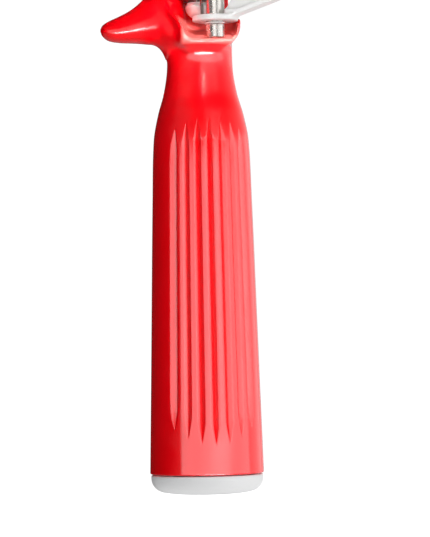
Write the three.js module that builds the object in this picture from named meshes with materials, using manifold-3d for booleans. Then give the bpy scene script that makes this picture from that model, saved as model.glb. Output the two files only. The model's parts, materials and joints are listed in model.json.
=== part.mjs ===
// Thumb-press disher: a ribbed plastic handle with a side hook, a steel thumb lever whose gear sector
// turns the scraper shaft, and a hemispherical bowl swept by a curved scraper blade.
// Millimetres. The origin is the centre of the end cap's flat face. +Z runs up the handle to the bowl,
// -Y is the front (the bowl's mouth and the housing's window), -X the hook, +X the thumb lever.
import * as THREE from "three";
import { mergeVertices } from "three/addons/utils/BufferGeometryUtils.js";
import Module from "manifold-3d";

const wasm = await Module();
wasm.setup();

// ---- Driving dimensions -------------------------------------------------------------------------
const GAP = 0.3; // clearance between pieces that touch on the real object
const CAP_HEIGHT = 5.2;
const CAP_RADIUS = 15.5;
const CAP_LAND_RADIUS = 9; // flat face that the disher stands on
const WALL = 3; // plastic wall of the hollow grip
const FAR = 40; // past every face of the handle
const HOLLOW_TOP = 96;

// Grip and neck sections along z: half-width, half-depth, y of the centre, superellipse exponent
const SECTIONS = [
  [CAP_HEIGHT + GAP, 15.8, 15.3, 0, 2],
  [40, 14.9, 14.4, 0, 2],
  [81, 13.85, 13.4, 0, 2],
  [98, 13.2, 12.9, 0, 2],
  [105, 11.9, 11.8, 0, 2],
  [111, 10.2, 10.2, 0, 2],
  [118, 9.15, 9.3, 0, 2],
  [131, 9.1, 9.3, 0, 2],
];
// The housing on top of the neck, in the same form; a plane under its sloping shelf cuts its foot
const BLOCK = [
  [120, 10.8, 11.7, -0.7, 2.8],
  [149, 10.9, 11.7, -0.7, 3],
  [154, 10.2, 10.9, -0.2, 2.6],
  [158, 8.7, 8.7, 2.2, 2],
  [162, 8.2, 8.2, 2.5, 2],
];
const LIP = 1; // thickness of the shelf's front edge
const FLUTES = 7; // on the front, one of them in the middle, and as many on the back
const FLUTE_PITCH = THREE.MathUtils.degToRad(14.55);
const FLUTE_DEPTH = 0.9;
// The middle flute along z: tip, full depth, full depth, tip; and how much the outermost stop short
const FLUTE_SPAN = [13.5, 19.5, 97.5, 103.6];
const FLUTE_SHORTER = { foot: 4.5, top: 3 };

// Window of the housing
const SHELF_BACK = { y: 6.5, z: 129.4 }; // where the sloping floor meets the back wall
const SHELF_SLOPE = 0.245;
// Low wall at the shelf's right: its inner face, slanting in from y = from by this much per mm
const CURB = { x: 9.2, from: -4, slant: 0.2, top: 131.2, underEar: 129.85 };
const WINDOW_TOP = 146.5;
const LEFT_WALL = [
  // z, x at the back wall, x gained per mm of y
  [128, -2.5, 0.229],
  [136, -2.9, 0.53],
];

// Side hook: x, lowest z, highest z, half-depth in y
const HOOK = [
  [-27.7, 128, 128.9, 0.7],
  [-27.2, 126.9, 129.8, 1.9],
  [-25.6, 125.6, 130.9, 3.1],
  [-22.4, 125, 132.4, 4],
  [-19.6, 124.9, 133.9, 4.7],
  [-17.2, 124.8, 135.7, 5.3],
  [-14.8, 124.6, 138.1, 5.8],
  [-12.8, 124.4, 140.8, 6.2],
  [-11.3, 123.7, 144.2, 6.6],
  [-9.4, 122.2, 147.5, 7],
];

// Mechanism: the lever's pivot and the scraper shaft are parallel to Z
const PIVOT = { x: 3.2, y: -7.5 };
const SHAFT = { x: 0, y: 2.5 };
const PIN_RADIUS = 2.55;
const PIN_FOOT = 125.4; // its free end, over a shallow pocket in the shelf
const POCKET_FLOOR = 124.6;
const PIN_TOP = 154.4;
const CLIP = { low: 129.4, high: 129.9, inner: 2.3, outer: 3.05 };
const SHAFT_RADIUS = 2;
const NECK_RADIUS = 1.25; // of the shaft inside the pinion and the cap nut
const SHAFT_SHOULDER = 144.5;

const PINION_TEETH = 8;
const SECTOR_TEETH = 20; // of the whole wheel that the sector is cut from
const MODULE = 0.75;
const PRESSURE = THREE.MathUtils.degToRad(25);
const BACKLASH = 0.1; // taken off each flank
const PINION_Z = [138, 144.2];
const SECTOR_Z = [141.5, 143.7];
const SECTOR_ARC = [30, 126].map(THREE.MathUtils.degToRad);

// Lever, drawn with its pivot at x = 0 and its arm along +x, then turned to its rest angle
const LEVER_REST = THREE.MathUtils.degToRad(-15);
const EAR_RADIUS = 6.3;
const SHEET = 1.5;
const LOWER_EAR = [130.2, 131.7];
const UPPER_EAR = [144, 145.4];
const ARM_LOWER_EDGE = [
  [2.8, 131.7],
  [6.3, 131.7],
  [15.5, 135],
  [24, 138.2],
];
const ARM_UPPER_EDGE = [
  [24, 150.6],
  [16, 147.6],
  [11, 145.4],
  [6.3, 145.4],
];
const FLANGE_WIDTH = 3.6;
const THUMB = { x: 31, z: 147, halfWidth: 8.5, halfHeight: 10.5, corner: 5 };
const THUMB_RIBS = 4;
const RIVET_RING = 4.9; // sector rivets, from the pivot
const RIVET_ANGLES = [60, 100].map(THREE.MathUtils.degToRad);

// Return spring, wound on the pivot pin
const WIRE = 0.9;
const COIL = { radius: 3.4, low: 136.95, high: 140.05, turns: 3 };
const SPRING_PEG_RING = 3.6;

// Bowl, shank and scraper
const BOWL = { x: SHAFT.x, y: SHAFT.y, z: 192, inner: 26.5, outer: 27.5 };
const BLADE = { inner: 25.4, outer: 26.15, halfWidth: 4.2, lap: 3.2 };
const BLADE_REST = THREE.MathUtils.degToRad(165);
const SHANK = { radius: 5, bore: 2.7, low: 152.3, saddle: [27.8, 29.3] };
const SOCKET_FLOOR = 152;
const BUSH_RADIUS = 3.6;
const LOWER_BUSH = [146.7, 151.6];
const UPPER_BUSH = [157.5, 164.6];
const SHANK_PIN = { radius: 1.2, z: 157 };
const BOWL_RIVET = { radius: 1.2, head: 2.3, x: 6.5, y: 9 };
const BOSS = { radius: 3.3, low: 26.6, high: 29.2 };

const RED = { color: 0xd8101c, roughness: 0.3, metalness: 0 };
const GREY = { color: 0xc3c8d2, roughness: 0.45, metalness: 0 };
const STEEL = { color: 0xc9c6c0, roughness: 0.18, metalness: 1 };
const SPRING_STEEL = { color: 0x5a5652, roughness: 0.35, metalness: 1 };
const NYLON = { color: 0xe8e4d6, roughness: 0.5, metalness: 0 };

// ---- Helpers ------------------------------------------------------------------------------------

// A closed BufferGeometry as a manifold-3d solid, turned the right way out.
function solid(geometry) {
  const bare = geometry.clone();
  bare.deleteAttribute("normal");
  bare.deleteAttribute("uv");
  const merged = mergeVertices(bare, 1e-4);
  const triVerts = new Uint32Array(merged.index.array);
  const build = () =>
    new wasm.Manifold(
      new wasm.Mesh({
        numProp: 3,
        vertProperties: merged.attributes.position.array,
        triVerts,
      }),
    );
  const made = build();
  if (made.volume() > 0) return made;
  for (let i = 0; i < triVerts.length; i += 3)
    [triVerts[i + 1], triVerts[i + 2]] = [triVerts[i + 2], triVerts[i + 1]];
  return build();
}

// A manifold-3d solid as a BufferGeometry.
function geometryOf(body) {
  const mesh = body.getMesh();
  const geometry = new THREE.BufferGeometry();
  geometry.setAttribute("position", new THREE.BufferAttribute(mesh.vertProperties, 3));
  geometry.setIndex(new THREE.BufferAttribute(mesh.triVerts, 1));
  geometry.computeVertexNormals();
  return geometry;
}

function add(first, ...rest) {
  return rest.reduce((sum, piece) => sum.add(piece), first);
}

function cut(first, ...rest) {
  return rest.reduce((left, piece) => left.subtract(piece), first);
}

// A profile of [radius, z] points turned about a vertical axis at (x, y).
function turned(profile, at = { x: 0, y: 0 }, segments = 32) {
  const points = profile.map(([r, z]) => new THREE.Vector2(r, z));
  const geometry = new THREE.LatheGeometry(points, segments);
  geometry.rotateX(Math.PI / 2);
  geometry.translate(at.x, at.y, 0);
  return solid(geometry);
}

function rod(radius, low, high, at, segments = 32) {
  return turned([[0, low], [radius, low], [radius, high], [0, high]], at, segments);
}

function sphere(radius, centre, segments = 48) {
  const geometry = new THREE.SphereGeometry(radius, segments, segments / 2);
  geometry.translate(centre.x, centre.y, centre.z);
  return solid(geometry);
}

function box(low, high) {
  const size = high.map((value, i) => value - low[i]);
  const middle = high.map((value, i) => (value + low[i]) / 2);
  const geometry = new THREE.BoxGeometry(...size);
  geometry.translate(...middle);
  return solid(geometry);
}

function shapeOf(points) {
  return new THREE.Shape(points.map(([x, y]) => new THREE.Vector2(x, y)));
}

// A flat outline in x and y, from z = low to z = high.
function plate(shape, low, high) {
  const options = { depth: high - low, bevelEnabled: false, curveSegments: 8 };
  const geometry = new THREE.ExtrudeGeometry(shape, options);
  geometry.translate(0, 0, low);
  return solid(geometry);
}

// A flat outline in x and z, from y = low to y = high.
function uprightPlate(shape, low, high) {
  const options = { depth: high - low, bevelEnabled: false, curveSegments: 8 };
  const geometry = new THREE.ExtrudeGeometry(shape, options);
  geometry.rotateX(Math.PI / 2);
  geometry.translate(0, high, 0);
  return solid(geometry);
}

// Rings with the same number of points, skinned together and closed at both ends.
function loft(rings) {
  const count = rings[0].length;
  const positions = rings.flat().flatMap((p) => [p.x, p.y, p.z]);
  const index = [];
  for (let r = 0; r + 1 < rings.length; r++)
    for (let i = 0; i < count; i++) {
      const [a, b] = [r * count + i, r * count + ((i + 1) % count)];
      index.push(a, b, b + count, a, b + count, a + count);
    }
  const ends = [[0, true], [rings.length - 1, false]];
  for (const [r, first] of ends) {
    const middle = rings[r].reduce((sum, p) => sum.clone().add(p)).divideScalar(count);
    const hub = positions.length / 3;
    positions.push(middle.x, middle.y, middle.z);
    for (let i = 0; i < count; i++) {
      const [a, b] = [r * count + i, r * count + ((i + 1) % count)];
      index.push(hub, first ? b : a, first ? a : b);
    }
  }
  const geometry = new THREE.BufferGeometry();
  geometry.setAttribute("position", new THREE.Float32BufferAttribute(positions, 3));
  geometry.setIndex(index);
  return solid(geometry);
}

// A row of the table at z, with a smooth curve through the table's rows.
function between(table, z) {
  const last = table.length - 1;
  const k = Math.min(Math.max(table.findIndex((row) => row[0] > z) - 1, 0), last - 1);
  if (z >= table[last][0]) return table[last];
  const slope = (i, c) => {
    const [a, b] = [table[Math.max(i - 1, 0)], table[Math.min(i + 1, last)]];
    return (b[c] - a[c]) / (b[0] - a[0]);
  };
  const span = table[k + 1][0] - table[k][0];
  const t = (z - table[k][0]) / span;
  return table[k].map((value, c) =>
    c === 0
      ? z
      : value * (2 * t ** 3 - 3 * t ** 2 + 1) +
        table[k + 1][c] * (3 * t ** 2 - 2 * t ** 3) +
        span * slope(k, c) * (t ** 3 - 2 * t ** 2 + t) +
        span * slope(k + 1, c) * (t ** 3 - t ** 2),
  );
}

function meshOf(name, body, look) {
  const mesh = new THREE.Mesh(geometryOf(body), new THREE.MeshStandardMaterial(look));
  mesh.name = name;
  return mesh;
}

// ---- Handle -------------------------------------------------------------------------------------

// The angles at which the grip's section is sampled: four steps to a flute, wider steps at the sides.
function gripAngles() {
  const fluted = FLUTES * FLUTE_PITCH;
  const angles = [];
  for (const middle of [-Math.PI / 2, Math.PI / 2]) {
    for (let i = 0; i < FLUTES * 4; i++)
      angles.push(middle - fluted / 2 + (i * FLUTE_PITCH) / 4);
    const sideSteps = 8;
    const side = Math.PI - fluted;
    for (let i = 0; i < sideSteps; i++)
      angles.push(middle + fluted / 2 + (i * side) / sideSteps);
  }
  return angles;
}

function fluteDepth(angle, z) {
  const [tip, full, fullEnd, tipEnd] = FLUTE_SPAN;
  const across = Math.abs(Math.abs(angle) - Math.PI / 2) / FLUTE_PITCH + 0.5;
  if (across >= (FLUTES + 1) / 2) return 0;
  const outward = (Math.floor(across) / ((FLUTES - 1) / 2)) ** 2;
  const low = z - tip - outward * FLUTE_SHORTER.foot;
  const high = tipEnd - outward * FLUTE_SHORTER.top - z;
  const along = Math.max(Math.min(low / (full - tip), high / (tipEnd - fullEnd), 1), 0);
  return FLUTE_DEPTH * along * (1 - (2 * (across % 1) - 1) ** 2);
}

function sectionOf(table, z) {
  const [, width, depth, middle, exponent] = between(table, z);
  return gripAngles().map((raw) => {
    const angle = Math.atan2(Math.sin(raw), Math.cos(raw));
    const [c, s] = [Math.cos(angle), Math.sin(angle)];
    const power = 2 / exponent;
    const trim = fluteDepth(angle, z);
    const x = (width - trim) * Math.sign(c) * Math.abs(c) ** power;
    const y = middle + (depth - trim) * Math.sign(s) * Math.abs(s) ** power;
    return new THREE.Vector3(x, y, z);
  });
}

function hookSolid() {
  const sides = 20;
  const rings = HOOK.map(([x, low, high, halfDepth]) =>
    Array.from({ length: sides }, (_, i) => {
      const angle = (2 * Math.PI * i) / sides;
      const y = halfDepth * Math.cos(angle);
      const z = (low + high) / 2 + ((high - low) / 2) * Math.sin(angle);
      return new THREE.Vector3(x, y, z);
    }),
  );
  return loft(rings);
}


// The space above or below a plane that is parallel to the shelf, across the whole handle.
function slopedSpace(drop, limit, back) {
  const plane = (y) => SHELF_BACK.z - drop + SHELF_SLOPE * (y - SHELF_BACK.y);
  const side = shapeOf([[-FAR, plane(-FAR)], [back, plane(back)], [back, limit], [-FAR, limit]]);
  const room = new THREE.ExtrudeGeometry(side, { depth: 2 * FAR, bevelEnabled: false });
  const turn = new THREE.Matrix4().makeBasis(
    new THREE.Vector3(0, 1, 0),
    new THREE.Vector3(0, 0, 1),
    new THREE.Vector3(1, 0, 0),
  );
  room.applyMatrix4(turn);
  room.translate(-FAR, 0, 0);
  return solid(room);
}

// The space of the housing's window: over the sloping shelf, open to the front and to the right.
function windowSpace() {
  const room = slopedSpace(0, WINDOW_TOP, SHELF_BACK.y);
  const [lower, upper] = LEFT_WALL;
  const [front, back] = [-16, 8];
  const steps = 6;
  const wall = [];
  for (let i = -1; i <= steps + 1; i++) {
    const t = Math.min(Math.max(i / steps, 0), 1);
    const [z, xBack, gain] = lower.map((value, c) => value + t * (upper[c] - value));
    const level = i < 0 ? 100 : i > steps ? 160 : z;
    const xAt = (y) => xBack + gain * (y - SHELF_BACK.y);
    wall.push([
      new THREE.Vector3(-FAR, front, level),
      new THREE.Vector3(xAt(front), front, level),
      new THREE.Vector3(xAt(back), back, level),
      new THREE.Vector3(-FAR, back, level),
    ]);
  }
  const curbBack = CURB.x - CURB.slant * (FAR - CURB.from);
  const curbOutline = [[CURB.x, -FAR], [FAR, -FAR], [FAR, FAR], [curbBack, FAR], [CURB.x, CURB.from]];
  const curb = plate(shapeOf(curbOutline), 100, CURB.top);
  const earRoom = rod(EAR_RADIUS + 0.5, CURB.underEar, 140, PIVOT);
  return cut(room, loft(wall), curb.subtract(earRoom));
}

function housingBlock() {
  const ends = BLOCK.map(([z]) => z);
  const roof = ends.slice(1);
  const between = roof.slice(1).map((z, i) => (roof[i] + z) / 2);
  const levels = [...ends, ...between].sort((a, b) => a - b);
  return loft(levels.map((z) => sectionOf(BLOCK, z))).subtract(slopedSpace(LIP, 100, FAR));
}

// A short pin along X, from x = from to x = to, at height z and the shaft's depth.
function crossPin(radius, from, to, z) {
  const geometry = new THREE.CylinderGeometry(radius, radius, to - from, 20);
  geometry.rotateZ(Math.PI / 2);
  geometry.translate((from + to) / 2, SHAFT.y, z);
  return solid(geometry);
}

function handleBody() {
  const bottom = CAP_HEIGHT + GAP;
  const top = BLOCK.at(-1)[0];
  const [tip, full, fullEnd, tipEnd] = FLUTE_SPAN;
  const feet = [tip, tip + FLUTE_SHORTER.foot, full, full + FLUTE_SHORTER.foot];
  const tops = [fullEnd - FLUTE_SHORTER.top, fullEnd, tipEnd - FLUTE_SHORTER.top, tipEnd];
  const grip = [bottom, ...feet, 40, 70, ...tops, 107.5];
  const neck = [110.5, 114, 118, SECTIONS.at(-1)[0]];
  const column = loft([...grip, ...neck].map((z) => sectionOf(SECTIONS, z)));
  const hollow = turned([
    [0, bottom - 1],
    [15.4 - WALL, bottom - 1],
    [12.6 - WALL, HOLLOW_TOP - 4],
    [8, HOLLOW_TOP],
    [0, HOLLOW_TOP],
  ]);
  const outside = add(column, housingBlock(), hookSolid());
  const windowed = cut(outside, hollow, windowSpace());
  const clear = PIN_RADIUS + GAP;
  const pocket = rod(clear, POCKET_FLOOR, PIN_FOOT + 6, PIVOT);
  const pinTop = rod(clear, WINDOW_TOP - 1, top, PIVOT);
  const bushHole = rod(BUSH_RADIUS + GAP, WINDOW_TOP - 1, SOCKET_FLOOR + 1, SHAFT);
  const socket = rod(SHANK.radius + GAP, SOCKET_FLOOR, top + 1, SHAFT);
  const pinHoles = crossPin(SHANK_PIN.radius + GAP, -20, 20, SHANK_PIN.z);
  return cut(windowed, pocket, pinTop, bushHole, socket, pinHoles);
}

function endCap() {
  const top = CAP_HEIGHT;
  const spigot = 15.4 - WALL - 0.6;
  return turned(
    [
      [0, 0],
      [CAP_LAND_RADIUS, 0],
      [11.9, 0.4],
      [13.9, 1.35],
      [15.1, 2.7],
      [CAP_RADIUS, 4.2],
      [CAP_RADIUS, top],
      [spigot, top],
      [spigot - 0.3, top + 8],
      [spigot - 2.3, top + 8],
      [spigot - 2.3, 3],
      [0, 3],
    ],
    undefined,
    48,
  );
}

// ---- Pivot pin and its small parts --------------------------------------------------------------

function pivotPin() {
  const groove = CLIP.inner - 0.15;
  return turned(
    [
      [0, PIN_FOOT],
      [PIN_RADIUS - 0.3, PIN_FOOT + 0.2],
      [PIN_RADIUS, PIN_FOOT + 0.4],
      [PIN_RADIUS, CLIP.low - 0.1],
      [groove, CLIP.low - 0.1],
      [groove, CLIP.high + 0.1],
      [PIN_RADIUS, CLIP.high + 0.1],
      [PIN_RADIUS, PIN_TOP - 0.4],
      [PIN_RADIUS - 0.4, PIN_TOP],
      [0, PIN_TOP],
    ],
    PIVOT,
    40,
  );
}

// A ring with a gap on its right-hand side, pushed into the pin's groove.
function eClip() {
  const shape = new THREE.Shape();
  const half = THREE.MathUtils.degToRad(130);
  const middle = THREE.MathUtils.degToRad(195);
  shape.absarc(0, 0, CLIP.outer, middle - half, middle + half, false);
  shape.absarc(0, 0, CLIP.inner, middle + half, middle - half, true);
  return plate(shape, CLIP.low, CLIP.high).translate([PIVOT.x, PIVOT.y, 0]);
}

function ring(inner, outer, low, high, at, segments = 32) {
  return turned(
    [[inner, low], [outer, low], [outer, high], [inner, high], [inner, low]],
    at,
    segments,
  );
}

// ---- Gears --------------------------------------------------------------------------------------

// Flat outline points of one involute tooth, centred on the angle given.
function toothPoints(teeth, at) {
  const pitch = (MODULE * teeth) / 2;
  const base = pitch * Math.cos(PRESSURE);
  const tip = pitch + 0.8 * MODULE;
  const root = pitch - 1.05 * MODULE;
  const involute = (r) => {
    const a = Math.acos(Math.min(base / r, 1));
    return Math.tan(a) - a;
  };
  const atPitch = Math.PI / (2 * teeth) - BACKLASH / pitch;
  const half = (r) => atPitch + involute(pitch) - involute(Math.max(r, base));
  const radii = [root, Math.max(root, base), pitch, (pitch + tip) / 2, tip];
  const left = radii.map((r) => [r, at - half(r)]);
  const right = radii.map((r) => [r, at + half(r)]).reverse();
  return [...left, ...right].map(([r, a]) => [r * Math.cos(a), r * Math.sin(a)]);
}

// The direction from the pivot to the shaft: a sector tooth points along it, and a pinion gap faces it.
const MESH_ANGLE = Math.atan2(SHAFT.y - PIVOT.y, SHAFT.x - PIVOT.x);

function pinion() {
  const step = (2 * Math.PI) / PINION_TEETH;
  const outline = [];
  for (let i = 0; i < PINION_TEETH; i++)
    outline.push(...toothPoints(PINION_TEETH, MESH_ANGLE + Math.PI + (i + 0.5) * step));
  const blank = plate(shapeOf(outline), ...PINION_Z).translate([SHAFT.x, SHAFT.y, 0]);
  return blank.subtract(rod(NECK_RADIUS + GAP, 130, 150, SHAFT, 24));
}

function gearSector() {
  const step = (2 * Math.PI) / SECTOR_TEETH;
  const outline = [];
  const first = Math.ceil((SECTOR_ARC[0] - MESH_ANGLE) / step);
  const last = Math.floor((SECTOR_ARC[1] - MESH_ANGLE) / step);
  for (let i = first; i <= last; i++)
    outline.push(...toothPoints(SECTOR_TEETH, MESH_ANGLE + i * step));
  const hub = EAR_RADIUS - 0.5;
  const sweep = 2 * Math.PI - (last - first) * step;
  const arcSteps = 14;
  for (let i = 1; i < arcSteps; i++) {
    const a = MESH_ANGLE + last * step + (sweep * i) / arcSteps;
    outline.push([hub * Math.cos(a), hub * Math.sin(a)]);
  }
  const blank = plate(shapeOf(outline), ...SECTOR_Z).translate([PIVOT.x, PIVOT.y, 0]);
  const rivetHoles = RIVET_ANGLES.map((a) => rod(1, 130, 150, rivetPlace(a), 16));
  return cut(blank, rod(PIN_RADIUS + GAP, 130, 150, PIVOT), ...rivetHoles);
}

function rivetPlace(angle) {
  return {
    x: PIVOT.x + RIVET_RING * Math.cos(angle),
    y: PIVOT.y + RIVET_RING * Math.sin(angle),
  };
}

function sectorRivet(angle) {
  const [low, high] = [SECTOR_Z[0] - 0.2, UPPER_EAR[1] + 0.2];
  const profile = [[0, low - 0.4], [1.2, low - 0.4], [1.2, low], [0.7, low]];
  profile.push([0.7, high], [1.2, high], [0.9, high + 0.4], [0, high + 0.4]);
  return turned(profile, rivetPlace(angle), 16);
}

// ---- Lever --------------------------------------------------------------------------------------

// A strip of sheet along an edge of the arm: the edge's points, moved up or down by one thickness.
function flange(edge, lift) {
  const moved = edge.map(([x, z]) => [x, z + lift]).reverse();
  return uprightPlate(shapeOf([...edge, ...moved]), -FLANGE_WIDTH, SHEET / 2);
}

function roundedRectangle({ x, z, halfWidth, halfHeight, corner }) {
  const shape = new THREE.Shape();
  const [right, up] = [halfWidth - corner, halfHeight - corner];
  shape.absarc(x + right, z + up, corner, 0, Math.PI / 2, false);
  shape.absarc(x - right, z + up, corner, Math.PI / 2, Math.PI, false);
  shape.absarc(x - right, z - up, corner, Math.PI, 1.5 * Math.PI, false);
  shape.absarc(x + right, z - up, corner, 1.5 * Math.PI, 2 * Math.PI, false);
  return shape;
}

function thumbLever() {
  const origin = { x: 0, y: 0 };
  const innerEdge = [[6.3, 139], [4.5, 135.9], [2.8, 133.2]];
  const web = shapeOf([...ARM_LOWER_EDGE, ...ARM_UPPER_EDGE, ...innerEdge]);
  const upperTab = [[0, -4.4], [11, -FLANGE_WIDTH], [11, SHEET / 2], [0, 4.4]];
  const pad = roundedRectangle(THUMB);
  const ribs = Array.from({ length: THUMB_RIBS }, (_, i) => {
    const x = THUMB.x + (i - (THUMB_RIBS - 1) / 2) * 3.4;
    const reach = THUMB.halfHeight - 3.5;
    return box([x - 0.6, -SHEET / 2 - 0.7, THUMB.z - reach], [x + 0.6, 0, THUMB.z + reach]);
  });
  const made = add(
    rod(EAR_RADIUS, ...LOWER_EAR, origin, 48),
    rod(EAR_RADIUS, ...UPPER_EAR, origin, 48),
    plate(shapeOf(upperTab), ...UPPER_EAR),
    uprightPlate(web, -SHEET / 2, SHEET / 2),
    flange(ARM_LOWER_EDGE, SHEET),
    flange(ARM_UPPER_EDGE.slice(0, 3), -SHEET),
    uprightPlate(pad, -SHEET / 2, SHEET / 2),
    ...ribs,
  );
  const bored = made.subtract(rod(PIN_RADIUS + GAP, 120, 150, origin, 40));
  const placed = bored
    .rotate([0, 0, THREE.MathUtils.radToDeg(LEVER_REST)])
    .translate([PIVOT.x, PIVOT.y, 0]);
  const rivetHoles = RIVET_ANGLES.map((a) => rod(1, 143, 147, rivetPlace(a), 16));
  const pegHole = rod(WIRE / 2 + GAP, 128, 134, springPeg(), 16);
  return cut(placed, pegHole, ...rivetHoles);
}

// Where the spring's lower leg drops into the lever's lower ear.
function springPeg() {
  const angle = THREE.MathUtils.degToRad(170);
  return {
    x: PIVOT.x + SPRING_PEG_RING * Math.cos(angle),
    y: PIVOT.y + SPRING_PEG_RING * Math.sin(angle),
  };
}

// One wire: up from the lever's ear, round the pin, and off along the window's left wall.
function returnSpring() {
  const peg = springPeg();
  const path = [
    new THREE.Vector3(peg.x, peg.y, LOWER_EAR[0] + 0.4),
    new THREE.Vector3(peg.x, peg.y, 134),
    new THREE.Vector3(peg.x, peg.y, COIL.low - 0.8),
  ];
  const startAngle = THREE.MathUtils.degToRad(200);
  const sweep = 2 * Math.PI * COIL.turns - THREE.MathUtils.degToRad(110);
  const steps = 12 * COIL.turns;
  for (let i = 0; i <= steps; i++) {
    const angle = startAngle + (sweep * i) / steps;
    const z = COIL.low + ((COIL.high - COIL.low) * i) / steps;
    const x = PIVOT.x + COIL.radius * Math.cos(angle);
    path.push(new THREE.Vector3(x, PIVOT.y + COIL.radius * Math.sin(angle), z));
  }
  for (const x of [0, -4, -8.4])
    path.push(new THREE.Vector3(x, PIVOT.y + COIL.radius, COIL.high));
  const curve = new THREE.CatmullRomCurve3(path, false, "centripetal");
  const section = new THREE.Shape();
  section.absarc(0, 0, WIRE / 2, 0, 2 * Math.PI, false);
  const options = { steps: 90, bevelEnabled: false, extrudePath: curve, curveSegments: 4 };
  return solid(new THREE.ExtrudeGeometry(section, options));
}

// ---- Scraper ------------------------------------------------------------------------------------

function scraperShaft() {
  const blade = { low: BOWL.z - BLADE.outer, high: BOWL.z - BLADE.inner };
  return turned(
    [
      [0, 133.8],
      [NECK_RADIUS, 133.8],
      [NECK_RADIUS, SHAFT_SHOULDER],
      [SHAFT_RADIUS, SHAFT_SHOULDER],
      [SHAFT_RADIUS, blade.low - GAP],
      [1.5, blade.low - GAP],
      [1.5, blade.high + 0.5],
      [2.7, blade.high + 0.5],
      [2.2, blade.high + 1.4],
      [0, blade.high + 1.6],
    ],
    SHAFT,
    24,
  );
}

// A strip of spherical shell in the half-plane at the rest angle, lapping past both of its pivots.
function scraperBlade() {
  const centre = { x: 0, y: 0, z: BOWL.z };
  const shell = sphere(BLADE.outer, centre, 48).subtract(sphere(BLADE.inner, centre, 48));
  const reach = BLADE.outer + 2;
  const strip = box(
    [-BLADE.lap, -BLADE.halfWidth, BOWL.z - reach],
    [reach, BLADE.halfWidth, BOWL.z + reach],
  );
  return shell
    .intersect(strip)
    .subtract(rod(1.8, BOWL.z - reach, BOWL.z + reach, { x: 0, y: 0 }, 24))
    .rotate([0, 0, THREE.MathUtils.radToDeg(BLADE_REST)])
    .translate([SHAFT.x, SHAFT.y, 0]);
}

// A domed nut with a fine seam under its cone, blind from the top.
function capNut() {
  const [radius, equator, top] = [3.3, 135.4, 136.6];
  const dome = Array.from({ length: 7 }, (_, i) => {
    const angle = (i / 6) * (Math.PI / 2);
    return [radius * Math.sin(angle), equator - radius * Math.cos(angle)];
  });
  const seam = [[radius - 0.3, equator], [radius - 0.3, equator + 0.25]];
  const cone = [[radius, equator + 0.25], [2.7, top], [NECK_RADIUS + GAP, top]];
  const blind = [[NECK_RADIUS + GAP, 133.5], [0, 133.5]];
  return turned([...dome, ...seam, ...cone, ...blind], SHAFT, 32);
}

// ---- Bowl and shank -----------------------------------------------------------------------------

function bowl() {
  const centre = BOWL;
  const reach = BOWL.outer + 5;
  const shell = sphere(BOWL.outer, centre, 44).subtract(sphere(BOWL.inner, centre, 44));
  const back = box([-reach, BOWL.y, BOWL.z - reach], [reach, BOWL.y + reach, BOWL.z + reach]);
  const boss = rod(BOSS.radius, BOWL.z + BOSS.low, BOWL.z + BOSS.high, SHAFT, 24);
  return cut(
    shell.intersect(back).add(boss),
    rod(SHAFT_RADIUS + 0.6, BOWL.z - reach, BOWL.z - 20, SHAFT, 24),
    rod(1.6, BOWL.z + 20, BOWL.z + reach, SHAFT, 20),
    ...[-1, 1].map((side) => rivetAlong(side, BOWL_RIVET.radius + GAP, 20, 32)),
  );
}

// Unit vector from the bowl's centre through one of the two saddle rivets.
function rivetDirection(side) {
  const along = Math.sqrt(BOWL.outer ** 2 - BOWL_RIVET.x ** 2 - BOWL_RIVET.y ** 2);
  return new THREE.Vector3(side * BOWL_RIVET.x, BOWL_RIVET.y, -along).normalize();
}

function rivetAlong(side, radius, from, to, headRadius = radius) {
  const geometry = new THREE.CylinderGeometry(headRadius, radius, to - from, 20);
  geometry.translate(0, (from + to) / 2, 0);
  const up = new THREE.Vector3(0, 1, 0);
  const turn = new THREE.Quaternion().setFromUnitVectors(up, rivetDirection(side));
  geometry.applyQuaternion(turn);
  geometry.translate(BOWL.x, BOWL.y, BOWL.z);
  return solid(geometry);
}

function bowlRivet(side) {
  const headBase = SHANK.saddle[1] + 0.2;
  const shank = rivetAlong(side, BOWL_RIVET.radius, BOWL.inner + 0.1, headBase + 0.2);
  const head = rivetAlong(side, BOWL_RIVET.head, headBase, headBase + 0.9, 1.5);
  return shank.add(head);
}

// A tube that plugs into the housing's collar, with a saddle that follows the outside of the bowl.
function bowlShank() {
  const [inside, outside] = SHANK.saddle;
  const shell = sphere(outside, BOWL, 44);
  const patch = box([-11.5, SHAFT.y - 5, BOWL.z - 32], [11.5, SHAFT.y + 15, BOWL.z - 18]);
  const tube = rod(SHANK.radius, SHANK.low, BOWL.z - 20, SHAFT, 40);
  const holes = [-1, 1].map((side) => rivetAlong(side, BOWL_RIVET.radius + GAP, 20, 32));
  return cut(
    add(shell.intersect(patch), tube),
    sphere(inside, BOWL, 44),
    rod(SHANK.bore, 140, 180, SHAFT, 32),
    rod(BUSH_RADIUS + GAP, UPPER_BUSH[0] - GAP, 180, SHAFT, 32),
    crossPin(SHANK_PIN.radius + GAP, -20, -4, SHANK_PIN.z),
    crossPin(SHANK_PIN.radius + GAP, 4, 20, SHANK_PIN.z),
    ...holes,
  );
}

function tipPivot() {
  const z = BOWL.z;
  return turned(
    [
      [0, z + 24.1],
      [1.9, z + 24.3],
      [2.4, z + 25],
      [1.3, z + 25],
      [1.3, z + BOSS.high + 0.2],
      [2.7, z + BOSS.high + 0.2],
      [2.1, z + BOSS.high + 1],
      [0, z + BOSS.high + 1.2],
    ],
    SHAFT,
    24,
  );
}

// ---- Assembly -----------------------------------------------------------------------------------

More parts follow.
